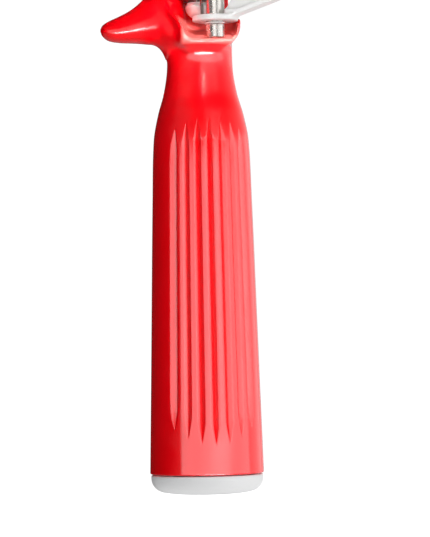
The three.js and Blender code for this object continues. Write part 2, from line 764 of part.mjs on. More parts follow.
const bushBore = SHAFT_RADIUS + GAP;
const collarOuter = 9.2;
const handle = [
  meshOf("handle_body", handleBody(), RED),
  meshOf("end_cap", endCap(), GREY),
  meshOf("pivot_pin", pivotPin(), STEEL),
  meshOf("pivot_e_clip", eClip(), SPRING_STEEL),
  meshOf("lower_bushing", ring(bushBore, BUSH_RADIUS, ...LOWER_BUSH, SHAFT), NYLON),
  meshOf("upper_bushing", ring(bushBore, BUSH_RADIUS, ...UPPER_BUSH, SHAFT), NYLON),
  meshOf("bowl_shank", bowlShank(), STEEL),
  meshOf("shank_pin_left", crossPin(SHANK_PIN.radius, -collarOuter, -4.3, SHANK_PIN.z), STEEL),
  meshOf("shank_pin_right", crossPin(SHANK_PIN.radius, 4.3, collarOuter, SHANK_PIN.z), STEEL),
  meshOf("bowl", bowl(), STEEL),
  meshOf("bowl_rivet_left", bowlRivet(-1), STEEL),
  meshOf("bowl_rivet_right", bowlRivet(1), STEEL),
  meshOf("bowl_tip_pivot", tipPivot(), STEEL),
];
const lever = [
  meshOf("thumb_lever", thumbLever(), STEEL),
  meshOf("gear_sector", gearSector(), STEEL),
  ...RIVET_ANGLES.map((a, i) => meshOf("sector_rivet_" + (i + 1), sectorRivet(a), STEEL)),
  meshOf("lever_washer", ring(PIN_RADIUS + GAP, 3.6, 145.6, 146.2, PIVOT), NYLON),
  meshOf("return_spring", returnSpring(), SPRING_STEEL),
];
const scraper = [
  meshOf("scraper_shaft", scraperShaft(), STEEL),
  meshOf("scraper_blade", scraperBlade(), STEEL),
  meshOf("pinion", pinion(), STEEL),
  meshOf("pinion_washer", ring(NECK_RADIUS + GAP, 3.9, 136.9, 137.7, SHAFT), SPRING_STEEL),
  meshOf("cap_nut", capNut(), STEEL),
];

const disher = new THREE.Group();
for (const body of [handle, lever, scraper]) {
  const group = new THREE.Group();
  group.add(...body);
  disher.add(group);
}

export default disher;
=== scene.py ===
"""Looks of a thumb-press disher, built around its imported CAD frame.

Shapes are made in millimetres, in the CAD's own coordinates, and scaled to metres as each mesh is made.
"""

import json
import math

import bmesh
import bpy
import numpy as np
from mathutils import Matrix, Vector

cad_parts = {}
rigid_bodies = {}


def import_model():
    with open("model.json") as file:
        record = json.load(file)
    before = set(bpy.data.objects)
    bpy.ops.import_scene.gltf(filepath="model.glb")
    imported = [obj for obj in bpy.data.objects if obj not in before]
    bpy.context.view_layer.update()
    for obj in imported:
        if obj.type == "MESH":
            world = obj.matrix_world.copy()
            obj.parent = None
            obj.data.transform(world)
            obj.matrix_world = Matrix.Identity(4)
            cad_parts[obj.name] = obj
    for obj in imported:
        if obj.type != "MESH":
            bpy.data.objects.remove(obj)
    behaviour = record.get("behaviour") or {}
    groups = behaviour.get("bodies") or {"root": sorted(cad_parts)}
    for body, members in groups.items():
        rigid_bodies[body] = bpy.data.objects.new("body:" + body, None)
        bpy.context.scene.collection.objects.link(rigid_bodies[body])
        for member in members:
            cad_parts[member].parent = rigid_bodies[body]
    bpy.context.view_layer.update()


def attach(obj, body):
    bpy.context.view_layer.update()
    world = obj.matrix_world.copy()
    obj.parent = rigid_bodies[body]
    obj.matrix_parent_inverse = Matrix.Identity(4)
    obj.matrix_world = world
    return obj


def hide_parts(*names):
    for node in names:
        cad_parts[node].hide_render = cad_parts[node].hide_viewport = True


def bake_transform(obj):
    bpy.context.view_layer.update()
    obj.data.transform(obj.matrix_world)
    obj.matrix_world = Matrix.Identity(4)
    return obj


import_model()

MM = 0.001

# ---- Driving dimensions, the CAD's own, in millimetres ----
PIVOT = (3.2, -7.5)
SHAFT = (0.0, 2.5)
GAP = 0.3  # radial room in every bore
EAR_RADIUS = 6.3  # of the thumb lever, about the pivot

# Handle sections: z, half-width, half-depth, y of the centre, superellipse exponent
SECTIONS = np.array([
    [5.5, 15.8, 15.3, 0, 2],
    [40, 14.9, 14.4, 0, 2],
    [81, 13.85, 13.4, 0, 2],
    [98, 13.2, 12.9, 0, 2],
    [105, 11.9, 11.8, 0, 2],
    [111, 10.2, 10.2, 0, 2],
    [118, 9.15, 9.3, 0, 2],
    [131, 9.1, 9.3, 0, 2],
])
# The housing on top of the neck, in the same form
BLOCK = np.array([
    [120, 10.8, 11.7, -0.7, 2.8],
    [149, 10.9, 11.7, -0.7, 3],
    [154, 10.2, 10.9, -0.2, 2.6],
    [158, 8.7, 8.7, 2.2, 2],
    [162, 8.2, 8.2, 2.5, 2],
])
LIP = 1.0  # thickness of the shelf's front edge
FLUTES = 7  # on the front, one of them in the middle, and as many on the back
FLUTE_PITCH = math.radians(14.55)
FLUTE_DEPTH = 1.0
FLUTE_SPAN = (13.5, 19.5, 97.5, 103.6)  # tip, full depth, full depth, tip along z, of the middle flute
FLUTE_SHORTER = (4.5, 3)  # how much sooner the outermost flutes end, at the foot and at the top
GROOVE = (0.42, 0.1)  # a groove's wall starts this far from the ridge and this softly, in half pitches

SHELF_BACK = (6.5, 129.4)  # y, z
SHELF_SLOPE = 0.245
CURB = (9.2, 131.2, 129.85)  # low wall at the shelf's right: x, top, top under the lever's ear
CURB_SLANT = (-4, 0.2)  # its inner face slants in behind this y, per mm
POCKET_FLOOR = 124.6
WINDOW_TOP = 146.5
LEFT_WALL = np.array([[128, -2.5, 0.229], [136, -2.9, 0.53]])  # z, x at the back wall, x per mm of y

# Hook: x, lowest z, highest z, half-depth
HOOK = np.array([
    [-27.7, 128, 128.9, 0.7],
    [-27.2, 126.9, 129.8, 1.9],
    [-25.6, 125.6, 130.9, 3.1],
    [-22.4, 125, 132.4, 4],
    [-19.6, 124.9, 133.9, 4.7],
    [-17.2, 124.8, 135.7, 5.3],
    [-14.8, 124.6, 138.1, 5.8],
    [-12.8, 124.4, 140.8, 6.2],
    [-11.3, 123.7, 144.2, 6.6],
    [-9.4, 122.2, 147.5, 7],
])
VALLEY_Y = -6.5  # floor of the valley between the hook and the window's left edge
CREST = (1.0, 131, 0.42)  # thickness of the window's left edge up to this z, and its gain per mm above

PIN_RADIUS = 2.55
PIN_TOP = 154.4
CLIP = (129.5, 129.9, 2.3, 2.95)  # low, high, inner and outer radius
SHAFT_RADIUS = 2.0
NECK_RADIUS = 1.25
SHAFT_SHOULDER = 144.5

MODULE = 0.75
PRESSURE = math.radians(25)
BACKLASH = 0.1
PINION_TEETH, SECTOR_TEETH = 8, 20
PINION_Z = (138, 144.2)
SECTOR_Z = (141.5, 143.7)
SECTOR_ARC = (math.radians(30), math.radians(126))
MESH_ANGLE = math.atan2(SHAFT[1] - PIVOT[1], SHAFT[0] - PIVOT[0])

LEVER_REST = math.radians(-15)
SHEET = 1.5
LOWER_EAR = (130.2, 131.7)
UPPER_EAR = (144, 145.4)
ARM_LOWER_EDGE = [(2.8, 131.7), (6.3, 131.7), (15.5, 135), (24, 138.2)]
ARM_UPPER_EDGE = [(24, 150.6), (16, 147.6), (11, 145.4), (6.3, 145.4)]
ARM_INNER_EDGE = [(6.3, 139), (4.5, 135.9), (2.8, 133.2)]
FLANGE_WIDTH = 3.6
THUMB = (31, 147, 8.5, 10.5, 5)  # x, z, half-width, half-height, corner
RIVET_RING = 4.9
RIVET_ANGLES = (math.radians(60), math.radians(100))

WIRE = 0.9
COIL_RADIUS, COIL_LOW, COIL_HIGH, COIL_TURNS = 3.4, 136.95, 140.05, 3
PEG_ANGLE, PEG_RING = math.radians(170), 3.6

BOWL = (SHAFT[0], SHAFT[1], 192.0)
BOWL_INNER, BOWL_OUTER = 26.5, 27.5
BLADE_INNER, BLADE_OUTER = 25.4, 26.15
BLADE_HALF_WIDTH, BLADE_LAP = 4.2, 3.2
BLADE_REST = math.radians(165)
SADDLE = (27.8, 29.3)
BUSH_RADIUS = 3.6
WELD_Z = 116.0  # the grip's quads end here and the housing's mesh begins
SHANK_PIN_Z = 157
NECK_TOP = 130.5  # the neck's own form ends here, inside the housing
HOOK_ROOT_X = -8.6  # the hook's own form ends here
CAP_RADIUS, CAP_TOP, CAP_ROUND = 15.5, 5.2, 4.3
CAP_PLUG = 8  # how far the plug stands up into the grip

# Blend widths between the handle's forms
FILLET = {
    "shelf_to_wall": 3.2, "curb": 2.6, "curb_top": 0.9, "under_ear": 0.4, "back": 0.8, "roof": 1.6,
    "shelf_lip": 4.5, "valley": 3, "crest": 1.4, "hook": 3.4, "top": 1.2, "window": 0.9, "hole": 0.35,
}
NECK_FILLET = (2.2, 3.6)  # at the back and sides, and how much more at the front

# Zones of the red plastic: low corner, high corner, softness of the edge
# In the shelf's zone a paler red is painted on: a painted sheen for the light that the shelf and the
# window's inside catch
SHELF_SHEEN_ZONE = ((-7.2, -12.2, 123.5), (9.6, 7, 132.5), 1)
HOOK_ZONE = ((-40, -30, 121.5), (-5.5, 30, 170), 2.5)
ROOT_ZONE = ((-18, -30, 121.5), (-5.5, 30, 170), 3)
# Paler red of the painted sheen on the shelf and the window's inside
PAINTED_SHEEN_RED = (0.8, 0.17, 0.15)
SPECULAR, HOOK_SPECULAR = 0.45, 0.22  # specular levels
ROOT_SHARE = 0.25  # the part of its specular level that the root keeps
NOISE_RANGE = (0.3, 0.7)  # where most values of a noise node lie
CREASE = math.radians(50)  # edges sharper than this get a bevel


# ---- Mesh helpers ----
def smooth_rows(table, key):
    """Rows of a table at each key, on a smooth curve through the table's own rows."""
    keys = table[:, 0]
    slopes = np.gradient(table, axis=0) / np.gradient(keys)[:, None]
    key = np.clip(key, keys[0], keys[-1])
    k = np.clip(np.searchsorted(keys, key, side="right") - 1, 0, len(keys) - 2)
    span = keys[k + 1] - keys[k]
    t = (key - keys[k]) / span
    h00, h01 = 2 * t**3 - 3 * t**2 + 1, 3 * t**2 - 2 * t**3
    h10, h11 = (t**3 - 2 * t**2 + t) * span, (t**3 - t**2) * span
    return [
        h00 * table[k, c] + h01 * table[k + 1, c] + h10 * slopes[k, c] + h11 * slopes[k + 1, c]
        for c in range(1, table.shape[1])
    ]


def add_object(name, data):
    made = bpy.data.objects.new(name, data)
    bpy.context.scene.collection.objects.link(made)
    return made


def object_from(name, vertices, faces, material, sharp_angle=40):
    mesh = bpy.data.meshes.new(name)
    mesh.from_pydata((np.asarray(vertices) * MM).tolist(), [], [list(map(int, f)) for f in faces])
    mesh.update()
    made = add_object(name, mesh)
    mesh.materials.append(material)
    tidy(made, sharp_angle)
    return made


def tidy(made, sharp_angle):
    """Merges doubles, turns the faces out and shades smooth up to an angle."""
    work = bmesh.new()
    work.from_mesh(made.data)
    bmesh.ops.remove_doubles(work, verts=work.verts, dist=1e-7)
    bmesh.ops.recalc_face_normals(work, faces=work.faces)
    limit = math.radians(sharp_angle)
    for face in work.faces:
        face.smooth = True
    for edge in work.edges:
        edge.smooth = not (edge.is_manifold and edge.calc_face_angle() > limit)
    work.to_mesh(made.data)
    work.free()
    made.data.update()


def modify(made, kind, **settings):
    """Adds a modifier, applies it and leaves the plain mesh."""
    modifier = made.modifiers.new(kind.lower(), kind)
    for key, value in settings.items():
        setattr(modifier, key, value)
    bpy.context.view_layer.update()
    graph = bpy.context.evaluated_depsgraph_get()
    mesh = bpy.data.meshes.new_from_object(made.evaluated_get(graph))
    made.modifiers.clear()
    old = made.data
    made.data = mesh
    mesh.name = made.name
    bpy.data.meshes.remove(old)


def rounded(profile, radius, steps=4):
    """A profile of [r, z] points with each corner rounded; corners on the axis stay."""
    points = [np.array(p, float) for p in profile]
    out = []
    for i, p in enumerate(points):
        if i in (0, len(points) - 1) or p[0] < 1e-6:
            out.append(p)
            continue
        back, ahead = points[i - 1] - p, points[i + 1] - p
        reach = min(radius, np.linalg.norm(back) / 2.2, np.linalg.norm(ahead) / 2.2)
        start = p + back / np.linalg.norm(back) * reach
        end = p + ahead / np.linalg.norm(ahead) * reach
        for t in np.linspace(0, 1, steps + 1):
            out.append((1 - t) ** 2 * start + 2 * t * (1 - t) * p + t**2 * end)
    return out


def lathe(name, profile, at, material, segments=96, sharp_angle=40):
    """A profile of [r, z] points turned about a vertical axis; it starts and ends on the axis or closes."""
    vertices, rows = [], []
    for r, z in profile:
        if r < 1e-6:
            rows.append([len(vertices)] * segments)
            vertices.append((at[0], at[1], z))
            continue
        rows.append(list(range(len(vertices), len(vertices) + segments)))
        for a in np.arange(segments) * 2 * math.pi / segments:
            vertices.append((at[0] + r * math.cos(a), at[1] + r * math.sin(a), z))
    faces = []
    for low, high in zip(rows, rows[1:]):
        for i in range(segments):
            j = (i + 1) % segments
            corners = list(dict.fromkeys([low[i], low[j], high[j], high[i]]))
            if len(corners) > 2:
                faces.append(corners)
    return object_from(name, vertices, faces, material, sharp_angle)


def ring(name, inner, outer, low, high, at, material=None, edge=0.2):
    """A square-edged ring with its edges rounded, of nylon unless said."""
    middle = [inner, (low + high) / 2]
    profile = rounded([middle, [inner, low], [outer, low], [outer, high], [inner, high], middle], edge)
    return lathe(name, profile, at, material or NYLON, 72)


def prism(outline, low, high):
    """Vertices and faces of a flat outline of (x, y) points between two heights."""
    count = len(outline)
    vertices = [(x, y, z) for z in (low, high) for x, y in outline]
    faces = [list(range(count))[::-1], list(range(count, 2 * count))]
    faces += [[i, (i + 1) % count, count + (i + 1) % count, count + i] for i in range(count)]
    return vertices, faces


def plate(name, outline, holes, low, high, material, edge, sharp_angle=35):
    """A plate with round holes (x, y, radius), cut by a boolean, and its edges bevelled."""
    blank = object_from(name, *prism(outline, low, high), material)
    for x, y, radius in holes:
        turn = np.linspace(0, 2 * math.pi, 40, endpoint=False)
        circle = [(x + radius * math.cos(a), y + radius * math.sin(a)) for a in turn]
        cutter = object_from("cutter", *prism(circle, low - 1, high + 1), material)
        modify(blank, "BOOLEAN", operation="DIFFERENCE", object=cutter, solver="EXACT")
        bpy.data.objects.remove(cutter)
    modify(blank, "BEVEL", width=edge * MM, segments=2, limit_method="ANGLE", angle_limit=CREASE)
    tidy(blank, sharp_angle)
    return blank


# ---- Distance fields and the mesh around them ----
def smax(a, b, blend):
    """The larger of two distances, with the corner between them rounded over the blend's width."""
    h = np.clip(blend - np.abs(a - b), 0, None) / blend
    return np.maximum(a, b) + h * h * blend / 4


def smin(a, b, blend):
    return -smax(-a, -b, blend)


def gradient(field, x, y, z, step=0.02):
    """A field's slope along x, y and z, by central differences."""
    return np.stack([
        field(x + step, y, z) - field(x - step, y, z),
        field(x, y + step, z) - field(x, y - step, z),
        field(x, y, z + step) - field(x, y, z - step),
    ]) / (2 * step)


def as_distance(level, x, y, z):
    """Turns a level function that is 0 on the surface into a distance near it."""
    slope = np.sqrt((gradient(level, x, y, z) ** 2).sum(0))
    return level(x, y, z) / np.maximum(slope, 1e-3)


def cylinder_z(x, y, z, radius, low, high, at, edge=0.2):
    side = np.hypot(x - at[0], y - at[1]) - radius
    return smax(side, np.maximum(low - z, z - high), edge)


def slab(value, low, high):
    return np.maximum(low - value, value - high)


def extrude(flat, across, low, high, edge=0.25):
    """A flat distance given thickness between two planes, with rounded edges."""
    return smax(flat, slab(across, low, high), edge)


def polygon_distance(x, z, points):
    """Signed distance to a flat outline of corner points."""
    best = np.full(np.shape(x), 1e9)
    inside = np.zeros(np.shape(x), bool)
    for (ax, az), (bx, bz) in zip(points, points[1:] + points[:1]):
        ex, ez = bx - ax, bz - az
        t = np.clip(((x - ax) * ex + (z - az) * ez) / (ex * ex + ez * ez), 0, 1)
        best = np.minimum(best, np.hypot(x - ax - ex * t, z - az - ez * t))
        if az != bz:
            inside ^= ((az > z) != (bz > z)) & (x < ax + ex * (z - az) / ez)
    return np.where(inside, -best, best)


def rounded_box(x, z, half_x, half_z, corner):
    qx, qz = np.abs(x) - half_x + corner, np.abs(z) - half_z + corner
    return np.hypot(np.clip(qx, 0, None), np.clip(qz, 0, None)) + np.minimum(np.maximum(qx, qz), 0) - corner


def grid_step(full):
    return full


def skin(name, field, low, high, step, material):
    """An object around the space where a distance field is negative."""
    points, faces = surface(field, low, high, step)
    return object_from(name, points, faces, material)


def surface(field, low, high, step):
    """Vertices and quads around the space where a field is negative: surface nets, then two Newton steps."""
    axes = [np.arange(a, b + step, step) for a, b in zip(low, high)]
    values = field(*np.meshgrid(*axes, indexing="ij"))
    shape = np.array(values.shape)
    inside = values < 0
    count = np.zeros(shape - 1, np.int8)
    corners = [(i, j, k) for i in (0, 1) for j in (0, 1) for k in (0, 1)]
    for i, j, k in corners:
        count += inside[i : shape[0] - 1 + i, j : shape[1] - 1 + j, k : shape[2] - 1 + k]
    cells = np.argwhere((count > 0) & (count < 8))
    number = np.full(shape - 1, -1, np.int64)
    number[tuple(cells.T)] = np.arange(len(cells))
    total = np.zeros((len(cells), 3))
    hits = np.zeros(len(cells))
    for a in corners:
        for axis in range(3):
            if a[axis]:
                continue
            b = list(a)
            b[axis] = 1
            va = values[tuple((cells + a).T)]
            vb = values[tuple((cells + b).T)]
            crosses = (va < 0) != (vb < 0)
            t = np.where(crosses, va / np.where(crosses, va - vb, 1), 0)
            point = np.array(a, float) + t[:, None] * (np.array(b) - np.array(a))
            total += point * crosses[:, None]
            hits += crosses
    points = np.array(low) + (cells + total / hits[:, None]) * step
    faces = []
    for axis in range(3):
        u, v = (axis + 1) % 3, (axis + 2) % 3
        first = np.take(inside, range(shape[axis] - 1), axis)
        second = np.take(inside, range(1, shape[axis]), axis)
        edges = np.argwhere(first != second)
        edges = edges[(edges[:, u] > 0) & (edges[:, v] > 0)]
        edges = edges[(edges[:, u] < shape[u] - 1) & (edges[:, v] < shape[v] - 1)]
        starts = first[tuple(edges.T)]
        around = []
        for du, dv in ((1, 1), (0, 1), (0, 0), (1, 0)):
            cell = edges.copy()
            cell[:, u] -= du
            cell[:, v] -= dv
            around.append(number[tuple(cell.T)])
        quads = np.stack(around, 1)
        quads[~starts] = quads[~starts][:, ::-1]
        faces.append(quads)
    faces = np.concatenate(faces)
    faces = faces[(faces >= 0).all(1)]
    for _ in range(2):
        slope = gradient(field, *points.T).T
        move = field(*points.T)[:, None] * slope / np.maximum((slope**2).sum(1), 0.2)[:, None]
        points = points - np.clip(move, -step / 2, step / 2)
    return points, faces


# ---- Materials ----
def set_inputs(node, **values):
    """Sets a node's inputs by name, with _ for each space."""
    for key, value in values.items():
        node.inputs[key.replace("_", " ")].default_value = value


class Look:
    """A node material: a Principled shader and short ways to add texture to it."""

    def __init__(self, name, **sockets):
        self.material = bpy.data.materials.new(name)
        self.material.use_nodes = True
        tree = self.material.node_tree
        self.add, self.link = tree.nodes.new, tree.links.new
        self.shader = tree.nodes["Principled BSDF"]
        self.place = self.add("ShaderNodeTexCoord").outputs["Object"]
        set_inputs(self.shader, **sockets)

    def noise(self, scale, detail=2.0, stretch=(1, 1, 1)):
        mapping = self.add("ShaderNodeMapping")
        set_inputs(mapping, Scale=stretch)
        self.link(self.place, mapping.inputs["Vector"])
        noise = self.add("ShaderNodeTexNoise")
        set_inputs(noise, Scale=scale, Detail=detail)
        self.link(mapping.outputs["Vector"], noise.inputs["Vector"])
        return noise.outputs["Fac"]

    def spread(self, value, start, end, low=0, high=1):
        """A value between start and end, spread between two other numbers."""
        node = self.add("ShaderNodeMapRange")
        set_inputs(node, From_Min=start, From_Max=end, To_Min=low, To_Max=high)
        self.link(value, node.inputs["Value"])
        return node.outputs["Result"]

    def ramp(self, factor, low, high):
        """A noise value spread between two numbers."""
        return self.spread(factor, *NOISE_RANGE, low, high)

    def mix(self, factor, a, b):
        """One colour varied toward another by a noise value."""
        node = self.add("ShaderNodeMix")
        node.data_type = "RGBA"
        set_inputs(node, A=(*a, 1), B=(*b, 1))
        self.link(self.ramp(factor, 0, 1), node.inputs["Factor"])
        return node.outputs["Result"]

    def inside(self, low, high, soft):
        """1 inside a box given in mm, falling to 0 over a soft edge."""
        split = self.add("ShaderNodeSeparateXYZ")
        self.link(self.place, split.inputs["Vector"])
        product = None
        for axis, start, end in zip("XYZ", low, high):
            for edge, sign in ((start, 1), (end, -1)):
                step = self.spread(split.outputs[axis], edge * MM, (edge + sign * soft) * MM)
                product = self.multiply(product, step)
        return product

    def multiply(self, a, b):
        """The product of two outputs, or b alone where there is no a yet."""
        if a is None:
            return b
        node = self.add("ShaderNodeMath")
        node.operation = "MULTIPLY"
        self.link(a, node.inputs[0])
        self.link(b, node.inputs[1])
        return node.outputs["Value"]

    def blend(self, factor, base, colour):
        """A colour laid over another output where the factor is 1."""
        node = self.add("ShaderNodeMix")
        node.data_type = "RGBA"
        self.link(factor, node.inputs["Factor"])
        self.link(base, node.inputs["A"])
        set_inputs(node, B=(*colour, 1))
        return node.outputs["Result"]

    def drive(self, socket, output):
        self.link(output, self.shader.inputs[socket])

    def bump(self, height, strength, distance_mm):
        node = self.add("ShaderNodeBump")
        set_inputs(node, Strength=strength, Distance=distance_mm * MM)
        self.link(height, node.inputs["Height"])
        self.link(node.outputs["Normal"], self.shader.inputs["Normal"])


def red_plastic():
    look = Look("red_plastic", IOR=1.5)
    body = look.mix(look.noise(60), (0.62, 0.0001, 0.0025), (0.67, 0.0003, 0.004))
    # Painted sheen: a paler red laid on the shelf and the window's inside, standing for the light they catch
    look.drive("Base Color", look.blend(look.inside(*SHELF_SHEEN_ZONE), body, PAINTED_SHEEN_RED))
    look.drive("Roughness", look.ramp(look.noise(220, 3), 0.12, 0.19))
    hook, root = look.inside(*HOOK_ZONE), look.inside(*ROOT_ZONE)
    gloss = look.spread(hook, 0, 1, SPECULAR, HOOK_SPECULAR)
    look.drive("Specular IOR Level", look.multiply(gloss, look.spread(root, 0, 1, 1, ROOT_SHARE)))
    look.bump(look.noise(900, 2), 0.05, 0.04)
    return look.material


def grey_plastic():
    look = Look("grey_plastic", IOR=1.48)
    look.drive("Base Color", look.mix(look.noise(80), (0.94, 0.942, 0.946), (0.96, 0.962, 0.966)))
    look.drive("Roughness", look.ramp(look.noise(300, 3), 0.34, 0.44))
    look.bump(look.noise(1500, 2), 0.08, 0.04)
    return look.material


def steel(name, colour, low, high, stretch=(1, 1, 1), metallic=1.0):
    look = Look(name, Metallic=metallic)
    lighter = tuple(min(1, c * 1.06) for c in colour)
    look.drive("Base Color", look.mix(look.noise(90), colour, lighter))
    look.drive("Roughness", look.ramp(look.noise(500, 3, stretch), low, high))
    look.bump(look.noise(1200, 2, stretch), 0.03, 0.02)
    return look.material


def nylon():
    look = Look("nylon", IOR=1.53, Subsurface_Weight=0.1)
    look.drive("Base Color", look.mix(look.noise(120), (0.74, 0.71, 0.62), (0.8, 0.77, 0.68)))
    look.drive("Roughness", look.ramp(look.noise(400), 0.4, 0.5))
    return look.material


RED = red_plastic()
GREY = grey_plastic()
STEEL = steel("polished_steel", (0.72, 0.69, 0.65), 0.22, 0.3, metallic=0.85)
SHEET_STEEL = steel("pressed_steel", (0.76, 0.75, 0.735), 0.16, 0.26, (1, 1, 8))
SATIN = steel("satin_steel", (0.8, 0.795, 0.785), 0.28, 0.38, (1, 1, 8), 0.15)
# Dark steel of the spring and a washer; on the spring's leg beside the pin it is also painted shade for the
# gap there
DARK_STEEL = steel("spring_steel", (0.2, 0.18, 0.165), 0.24, 0.36)
NYLON = nylon()


# ---- Handle ----
def flute_depth(angle, z):
    """How far the surface is cut back by the flutes of the front and the back."""
    tip, full, full_end, tip_end = FLUTE_SPAN
    across = np.abs(np.abs(angle) - math.pi / 2) / FLUTE_PITCH + 0.5
    place = (np.floor(across) / ((FLUTES - 1) / 2)) ** 2
    foot, top = place * FLUTE_SHORTER[0], place * FLUTE_SHORTER[1]
    low_end = (z - tip - foot) / (full - tip)
    high_end = (tip_end - top - z) / (tip_end - full_end)
    along = np.clip(np.minimum(low_end, high_end), 0, 1) ** 0.8
    from_ridge = 1 - np.abs(2 * (across % 1) - 1)
    start, soft = GROOVE
    start = np.where(across > FLUTES / 2, start / 2, start)
    wall = from_ridge - start
    groove = (wall + np.hypot(wall, soft)) / (1 - start + np.hypot(1 - start, soft))
    outer = across >= (FLUTES + 1) / 2
    return FLUTE_DEPTH * np.where(outer, 0, np.clip(groove + along - 1, 0, None))


def grip_ring(z, angles):
    width, depth, middle, _ = smooth_rows(SECTIONS, np.full(len(angles), z))
    trim = flute_depth(angles, z)
    x = (width - trim) * np.cos(angles)
    y = middle + (depth - trim) * np.sin(angles)
    return np.stack([x, y, np.full(len(angles), z)], 1)


def grip_angles():
    per_flute, per_side = 18, 36
    fluted = FLUTES * FLUTE_PITCH
    parts = []
    for middle in (-math.pi / 2, math.pi / 2):
        start = middle - fluted / 2
        parts.append(np.linspace(start, start + fluted, FLUTES * per_flute, endpoint=False))
        start += fluted
        parts.append(np.linspace(start, start + math.pi - fluted, per_side, endpoint=False))
    angles = np.concatenate(parts)
    return np.arctan2(np.sin(angles), np.cos(angles))


def section_level(table):
    def level(x, y, z):
        width, depth, middle, power = smooth_rows(table, z)
        u, v = np.abs(x / width), np.abs((y - middle) / depth)
        return (u**power + v**power + 1e-12) ** (1 / power) - 1

    return level


def shelf_height(y):
    return SHELF_BACK[1] + SHELF_SLOPE * (y - SHELF_BACK[0])


def left_wall(y, z):
    """x of the window's left wall, and its x per mm of y."""
    t = np.clip((z - LEFT_WALL[0, 0]) / (LEFT_WALL[1, 0] - LEFT_WALL[0, 0]), 0, 1)
    x_back = LEFT_WALL[0, 1] + t * (LEFT_WALL[1, 1] - LEFT_WALL[0, 1])
    gain = LEFT_WALL[0, 2] + t * (LEFT_WALL[1, 2] - LEFT_WALL[0, 2])
    return x_back + gain * (y - SHELF_BACK[0]), gain


def hook_level(x, y, z):
    low, high, half = smooth_rows(HOOK, x)
    v = y / half
    w = (z - (low + high) / 2) / ((high - low) / 2)
    return np.sqrt(v * v + w * w) - 1


def window_distance(x, y, z):
    """Negative in the window's space: over the shelf, before the back wall, right of the left wall."""
    wall, gain = left_wall(y, z)
    left = (wall - x) / np.sqrt(1.1 + gain**2)
    floor = (shelf_height(y) - z) / math.hypot(1, SHELF_SLOPE)
    back = y - SHELF_BACK[0]
    curb_x = CURB[0] - CURB_SLANT[1] * np.clip(y - CURB_SLANT[0], 0, None)
    curb = smin(x - curb_x, CURB[1] - z, FILLET["curb_top"])
    under_ear = cylinder_z(x, y, z, EAR_RADIUS + 0.5, CURB[2], 140, PIVOT)
    curb = smin(curb, under_ear, FILLET["under_ear"])
    sides = smax(smax(floor, left, FILLET["shelf_to_wall"]), curb, FILLET["curb"])
    return smax(smax(sides, back, FILLET["back"]), z - WINDOW_TOP, FILLET["roof"])


def housing_distance(x, y, z):
    neck = as_distance(section_level(SECTIONS), x, y, z)
    neck = np.maximum(neck, z - NECK_TOP)
    block = as_distance(section_level(BLOCK), x, y, z)
    under = (shelf_height(y) - LIP - z) / math.hypot(1, SHELF_SLOPE)
    block = smax(block, under, FILLET["shelf_lip"])
    hook = as_distance(hook_level, x, y, z)
    hook = np.maximum(hook, np.maximum(HOOK[0, 0] - x, x - HOOK_ROOT_X))
    wall, gain = left_wall(y, z)
    crest = CREST[0] + CREST[2] * np.clip(z - CREST[1], 0, 7)
    valley = smax((x - wall + crest) / np.sqrt(1.2 + gain**2), y - VALLEY_Y, FILLET["valley"])
    block = smax(block, -valley, FILLET["crest"])
    front = np.clip(-(y + 3) / 6, 0, 1)
    body = smin(neck, block, NECK_FILLET[0] + NECK_FILLET[1] * front)
    body = smin(body, hook, FILLET["hook"])
    body = smax(body, z - BLOCK[-1, 0], FILLET["top"])
    body = smax(body, -window_distance(x, y, z), FILLET["window"])
    # The pin's pocket and bore, then the lower bushing's and the shank's seats: radius, low, high, axis
    holes = [
        (PIN_RADIUS + GAP, POCKET_FLOOR, 133, PIVOT),
        (PIN_RADIUS + GAP, 145, 170, PIVOT),
        (3.9, 145, 153, SHAFT),
        (5.3, 152, 170, SHAFT),
    ]
    for radius, low, high, at in holes:
        body = smax(body, -cylinder_z(x, y, z, radius, low, high, at), FILLET["hole"])
    pin = np.hypot(y - SHAFT[1], z - SHANK_PIN_Z) - 1.5
    return smax(body, -pin, 0.25)


def zip_loops(a, b, points):
    """Triangles between two closed loops of vertex numbers, both sorted by angle about the Z axis."""

    def angle(i):
        return math.atan2(points[i][1], points[i][0])

    def unrolled(loop, i):
        """The angle of a loop's point, counted on past a full turn."""
        turns, place = divmod(i, len(loop))
        return angle(loop[place]) + 2 * math.pi * turns

    a = sorted(a, key=angle)
    b = sorted(b, key=angle)
    faces, i, j = [], 0, 0
    while i < len(a) or j < len(b):
        corners = [a[i % len(a)], b[j % len(b)]]
        if j >= len(b) or (i < len(a) and unrolled(a, i + 1) <= unrolled(b, j + 1)):
            i += 1
            corners.insert(1, a[i % len(a)])
        else:
            j += 1
            corners.insert(1, b[j % len(b)])
        faces.append(corners)
    return faces


